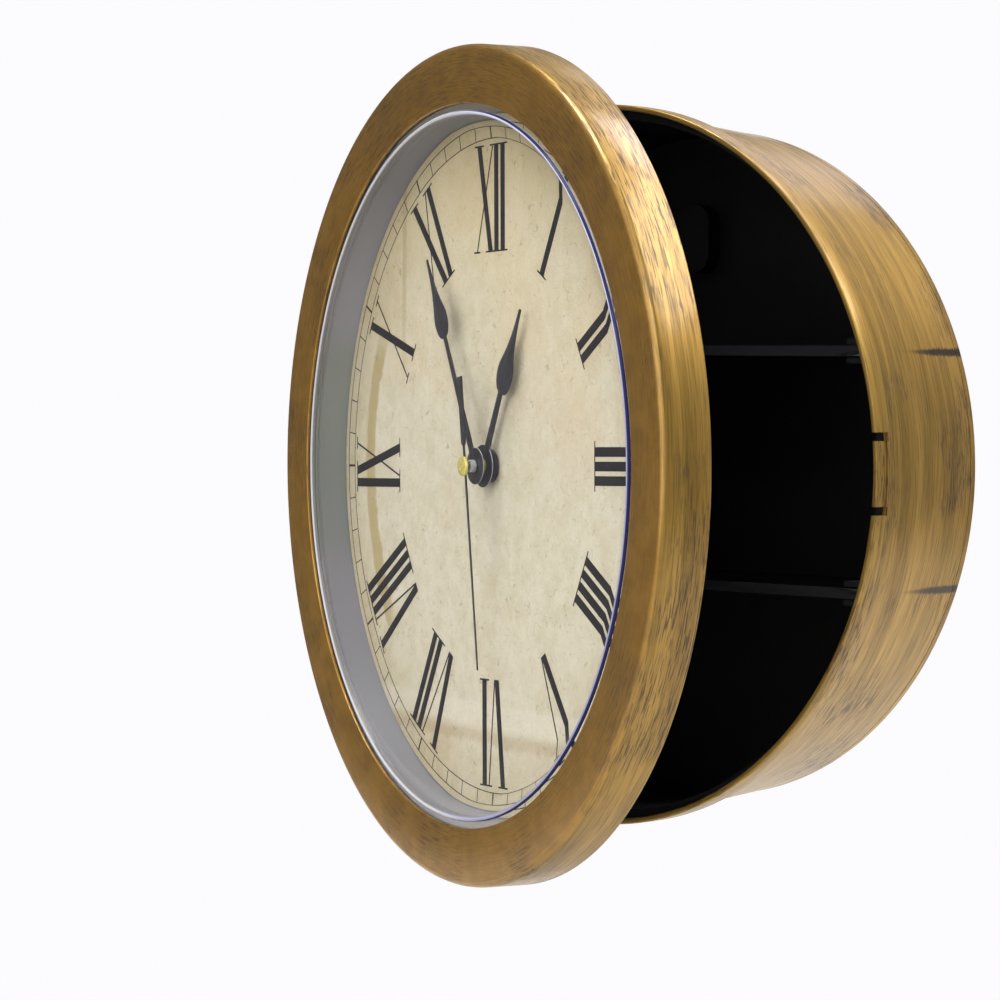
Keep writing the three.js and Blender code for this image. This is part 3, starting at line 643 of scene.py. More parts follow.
# %% Door bezel
SKIRT_IN = 122.6
FACE_BACK = DOOR_FRONT_Y + 2
EDGE_ROUND = 2.2
LIP_BACK = DOOR_FRONT_Y + 0.9
RIB_HALF = 0.6
BOSS_R = 3
KNUCKLE = 3
KNUCKLE_ROOM = 22.3
PIN = 1.4
DOOR_KNUCKLE = (11.9, 20.4)
CASE_KNUCKLE = 11.5

bezel = lathe([
    *arc(0.45, (OPENING + 0.45, DOOR_FRONT_Y + 0.45), 180, 270, 3),
    *arc(EDGE_ROUND, (DOOR_OUT - EDGE_ROUND, DOOR_FRONT_Y + EDGE_ROUND), -90, 0, 8),
    *arc(0.5, (DOOR_OUT - 0.5, DOOR_REAR_Y - 0.5), 0, 90, 3),
    (SKIRT_IN, DOOR_REAR_Y),
    (SKIRT_IN, FACE_BACK),
    (LENS_OUT + GAP, FACE_BACK),
    (LENS_OUT + GAP, LIP_BACK),
    (OPENING, LIP_BACK),
], 288)
for i in range(12):
    rib = block((LENS_OUT + 2, SKIRT_IN + 1), (FACE_BACK - 1, FLANGE_Y - 0.4), (-RIB_HALF, RIB_HALF))
    combine(bezel, turned(rib, 15 + 30 * i))
for turn in QUARTERS:
    boss = rod(BOSS_R, (FACE_BACK - 1, FLANGE_Y - 0.3), x=CUP_PITCH)
    cut_away(boss, rod(SCREW_BORE, (FACE_BACK + 0.6, FLANGE_Y + 1), x=CUP_PITCH))
    combine(bezel, turned(boss, turn))
cut_away(bezel, hinge_rod(KNUCKLE + 0.4, -KNUCKLE_ROOM, KNUCKLE_ROOM))
for side in (-1, 1):
    low, high = sorted(side * z for z in DOOR_KNUCKLE)
    root = block((HINGE_X - 1.8, HINGE_X + 1.8), (HINGE_Y - 5, HINGE_Y), (low, high))
    knuckle = combine(hinge_rod(KNUCKLE, low, high), root)
    cut_away(knuckle, hinge_rod(PIN + GAP, low - 1, high + 1))
    combine(bezel, knuckle)
deliver(bezel, "bezel_ring", "door", [door_gold], ["door_bezel"])

# %% [markdown]
# The drum is a drafted shell. Its front end widens to a socket for the door's cup, with
# an inner ledge, and two saw cuts in the socket leave a tongue that snaps over the
# door's catch. The lacquer covers the outside only, so the faces inside are black.

# %% Drum with its socket rim
TONGUE_HALF = 9.35
SLOT_WIDTH = 2.5
SHELF_Z = 35
SHELF_HALF = 3.3 / 2
RAIL_THICK = 1.6
COVER_BOSS_R = 4
SKIN = 0.45


def drum_radius(depth):
    return DRUM_FRONT + (DRUM_REAR - DRUM_FRONT) * (depth - STEP_Y) / (DRUM_REAR_Y - STEP_Y)


def drum_core(inset, steps):
    """A solid that fills the tapered part of the drum, an inset smaller than its outside."""
    return lathe([
        (0, STEP_Y), (DRUM_FRONT - inset, STEP_Y), (DRUM_REAR - inset, DRUM_REAR_Y), (0, DRUM_REAR_Y),
    ], steps)


def inside_of_drum(place, normal):
    out = Vector((place.x, 0, place.z))
    inner_wall = normal.dot(out.normalized()) < -0.2 and out.length < RIM_OUT
    skin = drum_radius(min(max(place.y, STEP_Y), DRUM_REAR_Y)) - SKIN
    return (inner_wall and place.y > RIM_Y + SKIN) or out.length < skin


drum = lathe([
    *arc(0.5, (RIM_IN + 0.5, RIM_Y + 0.5), 180, 270, 4),
    *arc(0.5, (RIM_OUT - 0.5, RIM_Y + 0.5), -90, 0, 4),
    *arc(0.4, (RIM_OUT - 0.4, STEP_Y - 0.4), 0, 90, 3),
    (DRUM_FRONT + 0.4, STEP_Y),
    (drum_radius(STEP_Y + 0.5), STEP_Y + 0.5),
    (DRUM_REAR, DRUM_REAR_Y),
    (DRUM_REAR - DRUM_WALL, DRUM_REAR_Y),
    (DRUM_FRONT - DRUM_WALL, STEP_Y),
    (DRUM_FRONT - DRUM_WALL, LEDGE_Y),
    (RIM_IN, LEDGE_Y),
], 288)
arm = block((HINGE_X, 0.3 - RIM_OUT), (HINGE_Y - 1.4, HINGE_Y + 1.4), (-CASE_KNUCKLE, CASE_KNUCKLE))
combine(arm, hinge_rod(KNUCKLE, -CASE_KNUCKLE, CASE_KNUCKLE))
cut_away(arm, hinge_rod(PIN + GAP, -CASE_KNUCKLE - 1.5, CASE_KNUCKLE + 1.5))
combine(drum, arm)
rail_start = math.sqrt((DRUM_REAR - DRUM_WALL) ** 2 - (SHELF_Z + SHELF_HALF) ** 2) - 4
for side, level, face in product((-1, 1), (-SHELF_Z, SHELF_Z), (-1, 1)):
    near = level + face * (SHELF_HALF + GAP)
    height = (near, near + face * RAIL_THICK)
    rail = block((side * rail_start, side * 115), (STEP_Y + 1.1, DRUM_REAR_Y), height)
    combine(drum, combine(rail, drum_core(DRUM_WALL / 2, 96), "INTERSECT"))
for turn in QUARTERS:
    boss = rod(COVER_BOSS_R, (DRUM_REAR_Y - 12, DRUM_REAR_Y), x=COVER_PITCH)
    combine(drum, turned(boss, turn))
groove = lathe([
    (RIM_OUT - 0.4, LEDGE_Y - 0.7), (RIM_OUT + 1, LEDGE_Y - 0.7),
    (RIM_OUT + 1, LEDGE_Y - 2.3), (RIM_OUT - 0.4, LEDGE_Y - 2.3),
], 192)
cut_away(drum, combine(groove, block((90, 120), (-60, -40), (-TONGUE_HALF, TONGUE_HALF)), "INTERSECT"))
for side in (1, -1):
    slot = (side * TONGUE_HALF, side * (TONGUE_HALF + SLOT_WIDTH))
    cut_away(drum, block((100, 115), (RIM_Y - 1, LEDGE_Y), slot))
deliver(drum, "drum_shell", "case", [case_gold, black_grained], ["case_drum"])
paint_faces(drum, "case", inside_of_drum)

# %% [markdown]
# The shelves are flat plates cut to the inside of the drum, and the back cover is a
# disc with screw pockets and a closed keyhole pocket, whose edge was lacquered with the
# drum. Plates are simple shapes, but their moulded edges are rounded a little, because
# a perfectly sharp edge never catches light.

# %% Shelves and back cover
for name, level in (("upper_shelf", SHELF_Z), ("lower_shelf", -SHELF_Z)):
    height = (level - SHELF_HALF, level + SHELF_HALF)
    plate = block((-110, 110), (STEP_Y + 0.8, DRUM_REAR_Y), height)
    combine(plate, drum_core(DRUM_WALL + GAP, 192), "INTERSECT")
    soften(plate, 0.5)
    deliver(plate, f"{name}_plate", "case", [black_polished], [name])

COVER_FRONT_Y = -2.5
POCKET_R = 3.1
KEY_Z = 66
KEY_TOP = KEY_Z + 9
KEY_DROP = 4.6
KEY_SLOT = 2.3


def head_path(radius, span):
    """The room that a wall screw's head needs from the keyhole's mouth to its top."""
    path = combine(rod(radius, span, z=KEY_Z, vertices=64), rod(radius, span, z=KEY_TOP, vertices=64))
    return combine(path, block((-radius, radius), span, (KEY_Z, KEY_TOP)))


cover = lathe([
    (0, COVER_FRONT_Y), (DRUM_REAR, COVER_FRONT_Y), *arc(0.6, (DRUM_REAR - 0.6, -0.6), 0, 90, 4), (0, 0),
], 192)
combine(cover, head_path(KEY_DROP + 1.5, (-8, -1.5)))
for turn in QUARTERS:
    cut_away(cover, turned(rod(SCREW_BORE, (-5, 1), x=COVER_PITCH), turn))
    cut_away(cover, turned(rod(POCKET_R, (-1.5, 1), x=COVER_PITCH), turn))
cut_away(cover, head_path(KEY_DROP, (-6.5, COVER_FRONT_Y)))
cut_away(cover, rod(KEY_DROP, (-3, 1), z=KEY_Z, vertices=64))
cut_away(cover, rod(KEY_SLOT, (-3, 1), z=KEY_TOP))
cut_away(cover, block((-KEY_SLOT, KEY_SLOT), (-3, 1), (KEY_Z, KEY_TOP)))
deliver(cover, "cover_disc", "case", [black_grained, case_gold], ["back_cover"])
paint_faces(cover, "case", lambda place, normal: math.hypot(place.x, place.z) > DRUM_REAR - 0.7)

# %% [markdown]
# Lens, cup and dial fill the bezel. The cup is one grey moulding: its cone is the
# reveal that shows between the lens and the dial, its floor carries the dial, and its
# flange is screwed to the bezel's bosses.

# %% Lens, dial cup and dial
CUP_MOUTH_Y = LENS_REAR_Y + GAP
CUP_FLOOR_Y = DIAL_Y + 0.4
CUP_REAR_Y = CUP_FLOOR_Y + 1.5
CUP_MOUTH = OPENING + 0.1
CUP_FOOT = DIAL_OUT + 0.4
CATCH_IN = RIM_OUT + 0.6


def cup_radius(depth):
    return CUP_FOOT + (CUP_MOUTH - CUP_FOOT) * (CUP_FLOOR_Y - depth) / (CUP_FLOOR_Y - CUP_MOUTH_Y)


def cup_outside(depth):
    return (cup_radius(depth) + CUP_WALL, depth)


BORDER = 5
BORDER_RISE = 0.3
bead_in = BEAD_R - BEAD
bead = [
    (BEAD_R - BEAD * math.cos(math.pi * i / 10), LENS_FRONT_Y - BEAD_RISE * math.sin(math.pi * i / 10))
    for i in range(11)
]
border = [
    (bead_in - BORDER * (1 - i / 8), LENS_FRONT_Y + BORDER_RISE * (1 - (i / 8) ** 2)) for i in range(9)
]
lens = lathe([
    (0, LENS_FRONT_Y + BORDER_RISE), *border, *bead, (OPENING - GAP, LENS_FRONT_Y),
    (LENS_OUT - 0.6, LENS_FRONT_Y), (LENS_OUT, LENS_FRONT_Y + 0.6), (LENS_OUT, LENS_REAR_Y),
    (0, LENS_REAR_Y),
], 288)
deliver(lens, "lens_disc", "door", [lens_clear, lens_rim_painted_light], ["lens"], smooth=20)
paint_faces(lens, "door", lambda place, normal: abs(math.hypot(place.x, place.z) - BEAD_R) < BEAD)

cup = lathe([
    (CUP_MOUTH, CUP_MOUTH_Y), cup_outside(CUP_MOUTH_Y), cup_outside(FLANGE_Y), (FLANGE_OUT, FLANGE_Y),
    (FLANGE_OUT, FLANGE_Y + 1.5), cup_outside(FLANGE_Y + 1.5), cup_outside(CUP_REAR_Y - 1),
    (CUP_FOOT + GAP, CUP_REAR_Y), (BUSH_HOLE, CUP_REAR_Y), (BUSH_HOLE, CUP_FLOOR_Y), (CUP_FOOT, CUP_FLOOR_Y),
], 288)
catch = lathe([
    (CATCH_IN, FLANGE_Y + 0.7), (CATCH_IN + 1.7, FLANGE_Y + 0.7), (CATCH_IN + 1.7, DOOR_REAR_Y - 0.6),
    (CATCH_IN, DOOR_REAR_Y - 0.6), (CATCH_IN - 0.35, DOOR_REAR_Y - 1), (CATCH_IN, DOOR_REAR_Y - 1.4),
], 288)
combine(cup, combine(catch, block((0, 130), (-60, -40), (-8, 8)), "INTERSECT"))
for turn in QUARTERS:
    cut_away(cup, turned(rod(SCREW_BORE, (-60, -50), x=CUP_PITCH), turn))
deliver(cup, "cup_moulding", "door", [grey_cup, reveal_with_painted_light], ["dial_cup"])


def on_reveal(place, normal):
    beside = math.hypot(place.x, place.z) - cup_radius(place.y)
    return abs(beside) < 0.3 and place.y < CUP_FLOOR_Y - 0.1


paint_faces(cup, "door", on_reveal)
dial_rear_y = DIAL_Y + 0.3
dial = lathe([
    (DIAL_OUT, DIAL_Y), (DIAL_OUT, dial_rear_y), (BUSH_HOLE, dial_rear_y), (BUSH_HOLE, DIAL_Y),
], 192)
deliver(dial, "dial_sheet", "door", [dial_paper], ["dial_face"])

# %% [markdown]
# The dial's printing is a film of ink a few hundredths of a millimetre thick. Roman
# numerals are thick and thin strokes with hairline serifs, so each is put together
# from slanted bars and turned to its hour. A railway track of minutes runs round them.

# %% Numerals and minute track
INK_FRONT = DIAL_Y - 0.06
INK_BACK = DIAL_Y - 0.01
NUMERAL_FOOT = 64
NUMERAL_TOP = 96.3
THICK = 2.75
THIN = 0.62
SERIF = 0.5
SERIF_REACH = 1.7
PITCH = 4.1
V_HALF = 4.6
X_THICK_HALF = 3.7
X_THIN_HALF = 5.3
DIAL_TURN = -1.4
GLYPH_WIDTH = {"I": PITCH, "V": 2 * V_HALF + 1.6, "X": 2 * X_THICK_HALF + 3.4}
NUMERALS = ("I", "II", "III", "IIII", "V", "VI", "VII", "VIII", "IX", "X", "XI", "XII")


def bar(foot_x, top_x, width, foot=NUMERAL_FOOT, top=NUMERAL_TOP):
    """A slanted stroke with level ends, as an outline of (x, z) points."""
    half = width / 2
    return [(foot_x - half, foot), (foot_x + half, foot), (top_x + half, top), (top_x - half, top)]


STROKES = {
    "I": ((0, 0, THICK),),
    "V": ((-THICK / 4, -V_HALF, THICK), (THICK / 4, V_HALF, THIN)),
    "X": ((X_THICK_HALF, -X_THICK_HALF, THICK), (-X_THIN_HALF, X_THIN_HALF, THIN)),
}


def glyph_bars(letter, x):
    """A letter's strokes from foot to top, and the serifs at their free ends."""
    bars = [bar(x + foot, x + top, width) for foot, top, width in STROKES[letter]]
    for foot, top, width in STROKES[letter]:
        reach = width + 2 * SERIF_REACH
        bars.append(bar(x + top, x + top, reach, NUMERAL_TOP - SERIF))
        if letter != "V":
            bars.append(bar(x + foot, x + foot, reach, NUMERAL_FOOT, NUMERAL_FOOT + SERIF))
    return bars


def print_numeral(hour, letters):
    width = sum(GLYPH_WIDTH[letter] for letter in letters)
    at = -width / 2
    strokes = []
    for letter in letters:
        at += GLYPH_WIDTH[letter] / 2
        strokes += [stamp(outline, INK_FRONT, INK_BACK) for outline in glyph_bars(letter, at)]
        at += GLYPH_WIDTH[letter] / 2
    figure = turned(reduce(combine, strokes), 30 * hour + DIAL_TURN)
    deliver(figure, f"numeral_{hour}", "door", [ink])


for hour, letters in enumerate(NUMERALS, start=1):
    print_numeral(hour, letters)

TRACK_IN = 97.9
TRACK_OUT = 102.5
TRACK_LINE = 0.28
LONG_TICK = 0.35
SHORT_TICK = 0.16


def ring_line(inner):
    outer = inner + TRACK_LINE
    return lathe([(inner, INK_FRONT), (outer, INK_FRONT), (outer, INK_BACK), (inner, INK_BACK)], 240)


track = combine(ring_line(TRACK_IN), ring_line(TRACK_OUT))
for minute in range(60):
    half = SHORT_TICK if minute % 5 else LONG_TICK
    tick = stamp(bar(0, 0, 2 * half, TRACK_IN + 0.1, TRACK_OUT + 0.1), INK_FRONT, INK_BACK)
    combine(track, turned(tick, 6 * minute + DIAL_TURN))
deliver(track, "minute_track", "door", [ink])

# %% [markdown]
# The hands are stamped from thin sheet and enamelled: a round hub, a slim stem and a
# pear-shaped blade. Their outline is drawn with the same curves as the solids, by a
# function that samples a cubic curve, and the edges are rounded as stamping leaves them.

# %% Hour and minute hands
def cubic(start, first, second, end, steps=14):
    points = []
    for i in range(1, steps + 1):
        t = i / steps
        weights = ((1 - t) ** 3, 3 * t * (1 - t) ** 2, 3 * t * t * (1 - t), t ** 3)
        points.append(tuple(
            sum(w * p[axis] for w, p in zip(weights, (start, first, second, end))) for axis in (0, 1)
        ))
    return points


def hub_arc(radius, opening, end, steps):
    """A hub's outline from the stem's right side round to an end, given as an angle."""
    start = math.pi / 2 - math.asin(opening / radius)
    angles = [start + (end - start) * i / steps for i in range(steps + 1)]
    return [(radius * math.cos(a), radius * math.sin(a)) for a in angles]


def blade_outline(reach, hub, root, stem, bulb_start, bulb_wide, tip):
    root, stem, wide, tip = root / 2, stem / 2, bulb_wide / 2, tip / 2
    span = reach - bulb_start
    shoulder = bulb_start + 0.22 * span
    swell = 0.16 * span
    taper = bulb_start + 0.42 * span
    right = [(stem, bulb_start)]
    right += cubic((stem, bulb_start), (wide / 2, bulb_start), (wide, shoulder - swell), (wide, shoulder))
    right += cubic((wide, shoulder), (wide, shoulder + swell), (stem, taper), (tip, reach))
    left = [(-x, z) for x, z in reversed(right)]
    back = math.asin(root / hub) - 1.5 * math.pi
    return hub_arc(hub, root, back, 40)[::-1] + right + left


HAND_THICK = 0.5
HOUR_Y = DIAL_Y - 2.8
MINUTE_Y = DIAL_Y - 5.4
SECOND_Y = DIAL_Y - 8.9
hands = (
    ("hour", HOUR_Y, 2.4, dict(
        reach=52, hub=6.4, root=3.1, stem=2.4, bulb_start=24.5, bulb_wide=9.2, tip=0.9,
    )),
    ("minute", MINUTE_Y, 1.5, dict(
        reach=71, hub=5.5, root=2.8, stem=1.6, bulb_start=44, bulb_wide=8, tip=0.8,
    )),
)
for body, depth, bore, shape in hands:
    hand = stamp(blade_outline(**shape), depth - HAND_THICK, depth)
    cut_away(hand, rod(bore, (depth - 2, depth + 2)))
    soften(hand, 0.12)
    deliver(hand, f"{body}_blade", body, [slate_enamel, bare_edge], [f"{body}_hand"])
    paint_faces(hand, body, lambda place, normal: (
        abs(normal.y) < 0.3 and abs(math.hypot(place.x, place.z) - shape["hub"]) < 0.5
    ))

# %% [markdown]
# The second hand is a needle with a bar for its tail, which balances it, and a brass
# cap hides its hub.

# %% Second hand and its cap
NEEDLE = 0.45
NEEDLE_TIP = 0.25
NEEDLE_REACH = 61
SECOND_HUB = 1.9
TAIL = 1.4
TAIL_TOP = 7.1
TAIL_REACH = 27
right = [
    (NEEDLE_TIP, NEEDLE_REACH),
    *hub_arc(SECOND_HUB, NEEDLE, math.asin(NEEDLE / SECOND_HUB) - math.pi / 2, 16),
    (NEEDLE, 1.1 - TAIL_TOP), (TAIL, -TAIL_TOP), (TAIL, -TAIL_REACH),
]
needle = stamp(right + [(-x, z) for x, z in reversed(right)], SECOND_Y - 0.35, SECOND_Y)
cut_away(needle, rod(0.8, (SECOND_Y - 2, SECOND_Y + 2), vertices=24))
deliver(needle, "second_needle", "second", [slate_enamel], ["second_hand"])

CAP_Y = DIAL_Y - 9.55
cap = lathe([
    (0, CAP_Y - 0.8), *arc(0.55, (2.45, CAP_Y - 0.25), -90, 0), (3, CAP_Y), (0, CAP_Y),
], 64)
deliver(cap, "cap_disc", "second", [brass], ["second_cap"])

# %% [markdown]
# Under the hands are the movement's bush with its nut, and the coaxial shafts. They
# are small, but the camera looks in from the side and sees them all.

# %% Shafts, bush and nut
WELL_Y = MOVEMENT_Y + 6.8


def sleeve(outer, bore, front, rear, edge=0.15):
    return lathe([
        (bore, front), (outer - edge, front), (outer, front + edge), (outer, rear), (bore, rear),
    ], 48)


for name, body, slot, material, node, *shape in (
    (
        "nut_body", "door", "black_enamel", black_nut, "fixing_nut",
        5, BUSH_HOLE, DIAL_Y - 1.8, DIAL_Y - 0.3, 0.3,
    ),
    ("hour_sleeve", "hour", "brass", brass, "hour_tube", 2.1, 1.5, DIAL_Y - 3.8, WELL_Y - 0.9),
    ("minute_sleeve", "minute", "steel", plated_steel, "minute_arbor", 1.2, 0.8, DIAL_Y - 5.9, WELL_Y - 0.6),
    ("hand_nut", "minute", "steel", nickel, "minute_nut", 1.9, 0.8, DIAL_Y - 7.9, DIAL_Y - 6.2, 0.25),
    (
        "washer_ring", "door", "rubber", rubber, "movement_gasket",
        15, BUSH_HOLE, CUP_REAR_Y + 0.3, CUP_REAR_Y + 1.3, 0.2,
    ),
):
    deliver(sleeve(*shape), name, body, [material], [node])
bush = lathe([
    (2.4, DIAL_Y - 2.3), (3.1, DIAL_Y - 2.3), (3.4, DIAL_Y - 2), (3.4, MOVEMENT_Y), (5.2, MOVEMENT_Y),
    (5.2, MOVEMENT_Y + 1.5), (2.4, MOVEMENT_Y + 1.5),
], 64)
deliver(bush, "bush_body", "door", [brass], ["threaded_bush"])
arbor = lathe([(0, CAP_Y + 0.3), (0.5, CAP_Y + 0.3), (0.5, WELL_Y - 0.3), (0, WELL_Y - 0.3)], 24)
deliver(arbor, "second_arbor_rod", "second", [plated_steel], ["second_arbor"])

# %% [markdown]
# Behind the dial sits a quartz movement: a rounded square case with a bay for one cell
# and a recessed wheel that sets the hands. It is a box with cuts, as its mould is, with
# round corners in its outline and a small bevel along its edges.

# %% Movement case
CASE_REAR_Y = MOVEMENT_Y + 16.5
MOVEMENT_HALF = 28
CELL_R = 7
BAY_R = CELL_R + 0.4
BAY_X = 27
CELL_Y = CASE_REAR_Y - 0.3 - CELL_R
CELL_Z = -15.5
KNOB_Z = 15
KNOB_R = 7
CORNER_R = 4

corner_at = MOVEMENT_HALF - CORNER_R
square = [
    point
    for side_x, side_z, turn in ((1, 1, 0), (-1, 1, 90), (-1, -1, 180), (1, -1, 270))
    for point in arc(CORNER_R, (side_x * corner_at, side_z * corner_at), turn, turn + 90)
]
movement = stamp(square, MOVEMENT_Y, CASE_REAR_Y)
soften(movement, 0.8)
cut_away(movement, rod(5.5, (MOVEMENT_Y - 1, MOVEMENT_Y + 1.8), vertices=64))
cut_away(movement, rod(2.4, (MOVEMENT_Y, WELL_Y)))
cut_away(movement, rod(BAY_R, (-BAY_X, BAY_X), y=CELL_Y, z=CELL_Z, along="X", vertices=64))
cut_away(movement, block((-BAY_X, BAY_X), (CELL_Y, CASE_REAR_Y + 1), (CELL_Z - BAY_R, CELL_Z + BAY_R)))
cut_away(movement, rod(KNOB_R + 0.4, (CASE_REAR_Y - 2.2, CASE_REAR_Y + 1), z=KNOB_Z, vertices=64))
cut_away(movement, rod(1.8, (CASE_REAR_Y - 6.5, CASE_REAR_Y), z=KNOB_Z))
deliver(movement, "movement_body", "door", [black_movement], ["movement_case"])

NOTCHES = 14
wheel = rod(KNOB_R, (CASE_REAR_Y - 1.9, CASE_REAR_Y + 1), z=KNOB_Z, vertices=8 * NOTCHES)
for i in range(NOTCHES):
    angle = 2 * math.pi * i / NOTCHES
    cut_away(wheel, rod(
        0.55, (CASE_REAR_Y - 3, CASE_REAR_Y + 2), vertices=16,
        x=KNOB_R * math.cos(angle), z=KNOB_Z + KNOB_R * math.sin(angle),
    ))
combine(wheel, rod(1.5, (CASE_REAR_Y - 6.2, CASE_REAR_Y - 1.5), z=KNOB_Z))
soften(wheel, 0.2)
deliver(wheel, "setting_wheel", "knob", [black_movement], ["setting_knob"])

# %% [markdown]
# The cell is a turned can under a printed film, with a copper-coloured band at its plus
# end, and its contacts are a cone-shaped coil and a bent plate. The coil is a screw
# curve: one small circle carried along a helix whose radius falls at a steady rate.

# %% Cell and contacts
PLUS_X = BAY_X - 1
SHOULDER_X = PLUS_X - 1.2
MINUS_X = PLUS_X - 50.5
GOLD_BAND_X = SHOULDER_X - 13
BUTTON_R = 2.75


def lathe_cell(profile, steps=64):
    """Spins a profile of (radius, x) points about the cell's axis."""
    piece = draw_wire([(along, CELL_Y + radius, CELL_Z) for radius, along in profile])
    centre = (0, CELL_Y * MM, CELL_Z * MM)
    bpy.ops.mesh.spin(steps=steps, angle=2 * math.pi, center=centre, axis=(1, 0, 0))
    close_edit()
    return piece


cell = lathe_cell([
    (0, MINUS_X), (CELL_R - 1, MINUS_X), (CELL_R - 0.6, MINUS_X + 0.4), (CELL_R, MINUS_X + 0.8),
    (CELL_R, GOLD_BAND_X), (CELL_R, SHOULDER_X - 0.7), (CELL_R - 0.7, SHOULDER_X),
    (BUTTON_R, SHOULDER_X), (BUTTON_R, PLUS_X - 0.3), (BUTTON_R - 0.3, PLUS_X), (0, PLUS_X),
])
deliver(cell, "cell_can", "door", [cell_film, cell_gold, plated_steel], ["battery_cell"])


def cell_part(place, normal):
    """Two on the bare ends, one on the copper-coloured band, zero on the dark film."""
    bare = math.hypot(place.y - CELL_Y, place.z - CELL_Z) < CELL_R - 0.8
    return 2 if bare else place.x > GOLD_BAND_X


paint_faces(cell, "door", cell_part)

WIRE = 0.3
TURNS = 2.25
COIL_STEPS = 90
COIL_WIDE = 4.8
COIL_NARROW = 2.2
coil_start = -BAY_X + 0.3 + WIRE
coil_length = MINUS_X - 0.3 - WIRE - coil_start
bpy.ops.curve.primitive_bezier_circle_add(radius=1)
coil = bpy.context.object
coil.data.splines.clear()
route = coil.data.splines.new("POLY")
route.points.add(COIL_STEPS)
for i, point in enumerate(route.points):
    share = i / COIL_STEPS
    turn = 2 * math.pi * TURNS * share
    radius = COIL_WIDE + (COIL_NARROW - COIL_WIDE) * share
    y, z = CELL_Y + radius * math.cos(turn), CELL_Z + radius * math.sin(turn)
    point.co = (*[v * MM for v in (coil_start + coil_length * share, y, z)], 1)
coil.data.bevel_depth = WIRE * MM
coil.data.bevel_resolution = 3
coil.data.use_fill_caps = True
select_only(coil)
bpy.ops.object.convert(target="MESH")
deliver(bpy.context.object, "coil_contact", "door", [plated_steel], ["battery_spring"])

# %% [markdown]
# Screws and the hinge pin fasten the pieces. One screw is modelled, with a domed head
# and a cross recess, and copied with its own mesh to each seat.

# %% Screws and hinge pin
SHANK = 1.3
HEAD = 2.7
PIN_HALF = 20.7


def screw(seat_y, length):
    """A screw on the dial's axis, with its head towards the wall."""
    tip, head = seat_y - length, seat_y + 1.1
    body = lathe([
        (0, tip), (1.0, tip), (SHANK, tip + 0.6), (SHANK, seat_y), (HEAD, seat_y), (HEAD, seat_y + 0.7),
        (2.3, seat_y + 1.02), (1.4, head), (0, head),
    ], 48)
    for x, z in ((1.5, 0.35), (0.35, 1.5)):
        cut_away(body, block((-x, x), (seat_y + 0.6, seat_y + 2), (-z, z)))
    return body


for family, seat_y, length, pitch, body, steel in (
    ("cover_screw", -1.2, 9, COVER_PITCH, "case", case_steel),
    ("cup_screw", FLANGE_Y + 1.8, 6.2, CUP_PITCH, "door", plated_steel),
):
    first = screw(seat_y, length)
    for i, turn in enumerate(QUARTERS, start=1):
        copy = bpy.data.objects.new(f"{family}_copy", first.data.copy())
        bpy.context.collection.objects.link(copy)
        copy.matrix_world = Matrix.Translation((pitch * MM, 0, 0))
        turned(copy, turn)
        deliver(copy, f"{family}_body_{i}", body, [steel], [f"{family}_{i}"])
    bpy.data.objects.remove(first)

pin = hinge_rod(PIN, -PIN_HALF, PIN_HALF)
combine(pin, hinge_rod(2.5, PIN_HALF, PIN_HALF + 1.2))
combine(pin, hinge_rod(1.7, -PIN_HALF - 1.2, -PIN_HALF))
soften(pin, 0.2)
deliver(pin, "pin_body", "case", [case_steel], ["hinge_pin"])

contact = bpy.data.objects["battery_plate"]
contact.data.materials.clear()
contact.data.materials.append(plated_steel)

# %% [markdown]
# The object hangs over a pale floor in white surroundings. The floor shows the camera
# white, as a lit studio floor does, and keeps a share of the real shadow.

# %% Floor and surroundings
FLOOR = 2.4
FLOOR_Z = -0.2
SHADOW_FADE = (0.35, 0.9)
LIGHT_FADE = (0.3, 1.1)
BACKDROP = "#FCFBFE"


def studio_white(add, surface, share):
    """Shows the camera a share of plain white, and lets the lit floor fade out in mirrors."""
    seen_by_camera = add("LightPath").outputs["Is Camera Ray"]
    white = add("Emission", BACKDROP, 1.0)
    far = add("VectorMath", add("TexCoord").outputs["Object"], operation="LENGTH")
    seen = all_of(add, seen_by_camera, add("MapRange", far, *SHADOW_FADE, share, 1.0, **SOFT))
    lit = add("MixShader", add("MapRange", far, *LIGHT_FADE, **SOFT), surface, add("BsdfTransparent"))
    return add("MixShader", seen, lit, white)


bpy.ops.mesh.primitive_plane_add(size=FLOOR, location=(0, 0, FLOOR_Z))
floor = bpy.context.object
floor.name = "floor"
floor_paint, add, shader = new_finish("white studio floor", Base_Color="#D9D6CE", Roughness=1.0)
fill(floor_paint.node_tree.nodes["Material Output"], Surface=studio_white(add, shader, 0.97))
floor.data.materials.append(floor_paint)
floor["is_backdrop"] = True

world = bpy.data.worlds.new("studio")
bpy.context.scene.world = world
world.use_nodes = True
add = partial(add_node, world.node_tree)
side = add("SeparateXYZ", add("TexCoord").outputs["Generated"]).outputs[0]
strength = add("MapRange", side, -1.0, -0.4, 0.11, 0.28, **SOFT)
dim = fill(world.node_tree.nodes["Background"], Color="#FFFFFF", Strength=strength)
plain = add("Background", BACKDROP, 1.0)
mixed = add("MixShader", add("LightPath").outputs["Is Camera Ray"], dim, plain)
fill(world.node_tree.nodes["World Output"], Surface=mixed)
print("floor and surroundings made")

# %% [markdown]
# Broad soft lamps stand above, behind, to the right and in front. Each is turned towards
# the dial, and none shows in the picture itself.

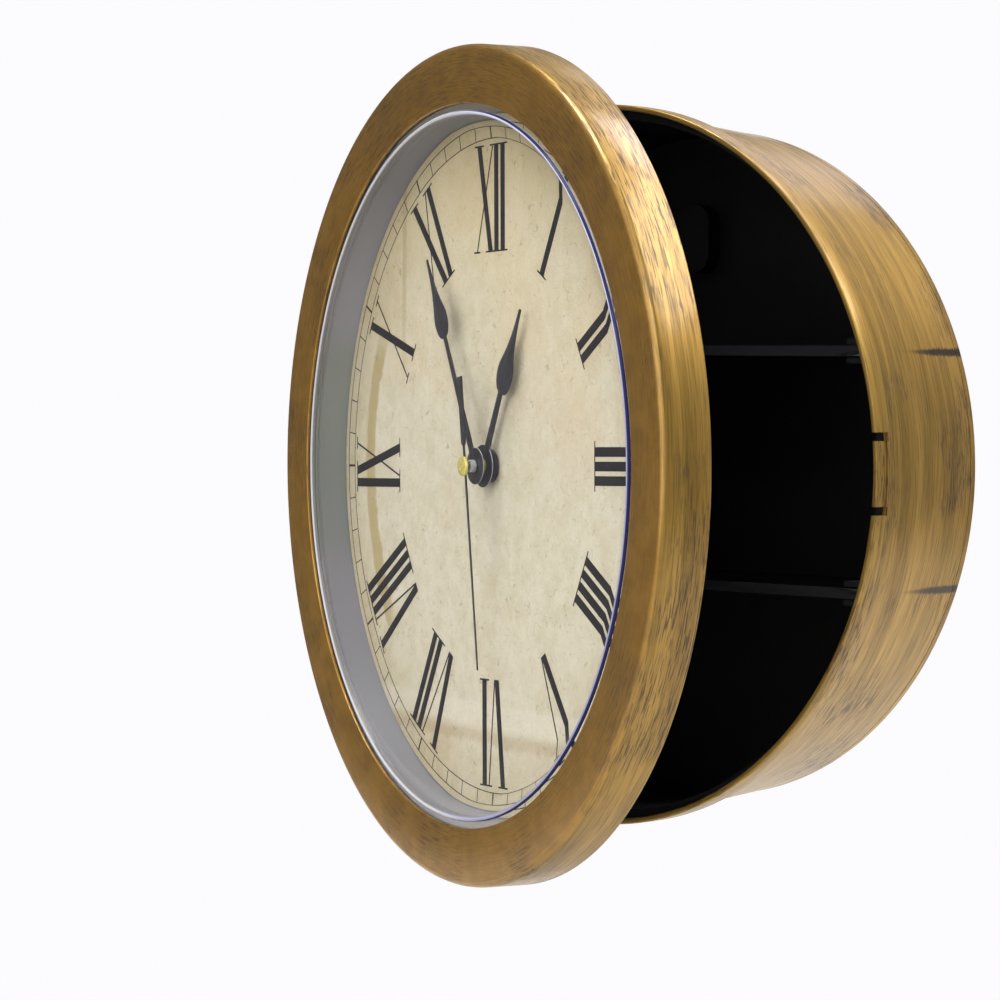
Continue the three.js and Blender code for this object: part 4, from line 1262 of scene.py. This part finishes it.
# %% Lamps
def soft_lamp(name, place, size, watts, colour="#FFFFFF"):
    bpy.ops.object.light_add(type="AREA", location=place)
    lamp = bpy.context.object
    lamp.name = name
    lamp.data.shape = "RECTANGLE"
    lamp.data.size, lamp.data.size_y = size
    lamp.data.energy = watts
    lamp.data.color = linear(colour)[:3]
    lamp.rotation_euler = (-Vector(place)).to_track_quat("-Z", "Y").to_euler()
    lamp.visible_camera = False
    print(f"lamp {name}: {watts} W")


soft_lamp("upper right", (0.74, 0.44, 0.98), (0.95, 0.7), 16, "#FFF8F0")
soft_lamp("overhead", (0.08, 0.62, 1.03), (0.35, 0.3), 3, "#F4F0FF")
soft_lamp("above", (-0.2, -0.3, 1.2), (0.5, 0.5), 12)
soft_lamp("behind", (-1.3, 1.5, 0.0), (1.3, 1.0), 5)
soft_lamp("upper behind", (-0.5, 1.2, 0.95), (0.6, 0.5), 0.9, "#F4F0FF")
soft_lamp("front right", (0.9, -1.3, 1.2), (0.6, 0.5), 8)
soft_lamp("front", (-0.1, -2.1, 0.6), (2.1, 2.0), 25)

# %% [markdown]
# The camera stands at about a metre, a little above the middle, to the right of the
# dial. Its place and lens were worked out from the edges in the photograph.

# %% Camera
CAMERA_AT = Vector((728.4, -844.0, 26.9)) * MM
LOOKS_AT = Vector((-46.4, -46.5, -12.2)) * MM
ROLL = math.radians(0.48)
bpy.ops.object.camera_add(location=CAMERA_AT)
camera = bpy.context.object
camera.data.sensor_width = 36
camera.data.lens = 126.8
camera.data.clip_start = 0.05
look = (LOOKS_AT - CAMERA_AT).to_track_quat("-Z", "Y").to_matrix().to_4x4()
camera.matrix_world = Matrix.Translation(CAMERA_AT) @ look @ Matrix.Rotation(ROLL, 4, "Z")
bpy.context.scene.camera = camera
bpy.context.scene.view_settings.view_transform = "Standard"
print("camera stands", round((LOOKS_AT - CAMERA_AT).length, 2), "m away")

# %% [markdown]
# The box round the finished pieces is printed in millimetres.

# %% Size of the finished pieces, and the end
low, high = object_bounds()
print("finished box in mm:", [round(v / MM, 1) for v in (*low, *high)])
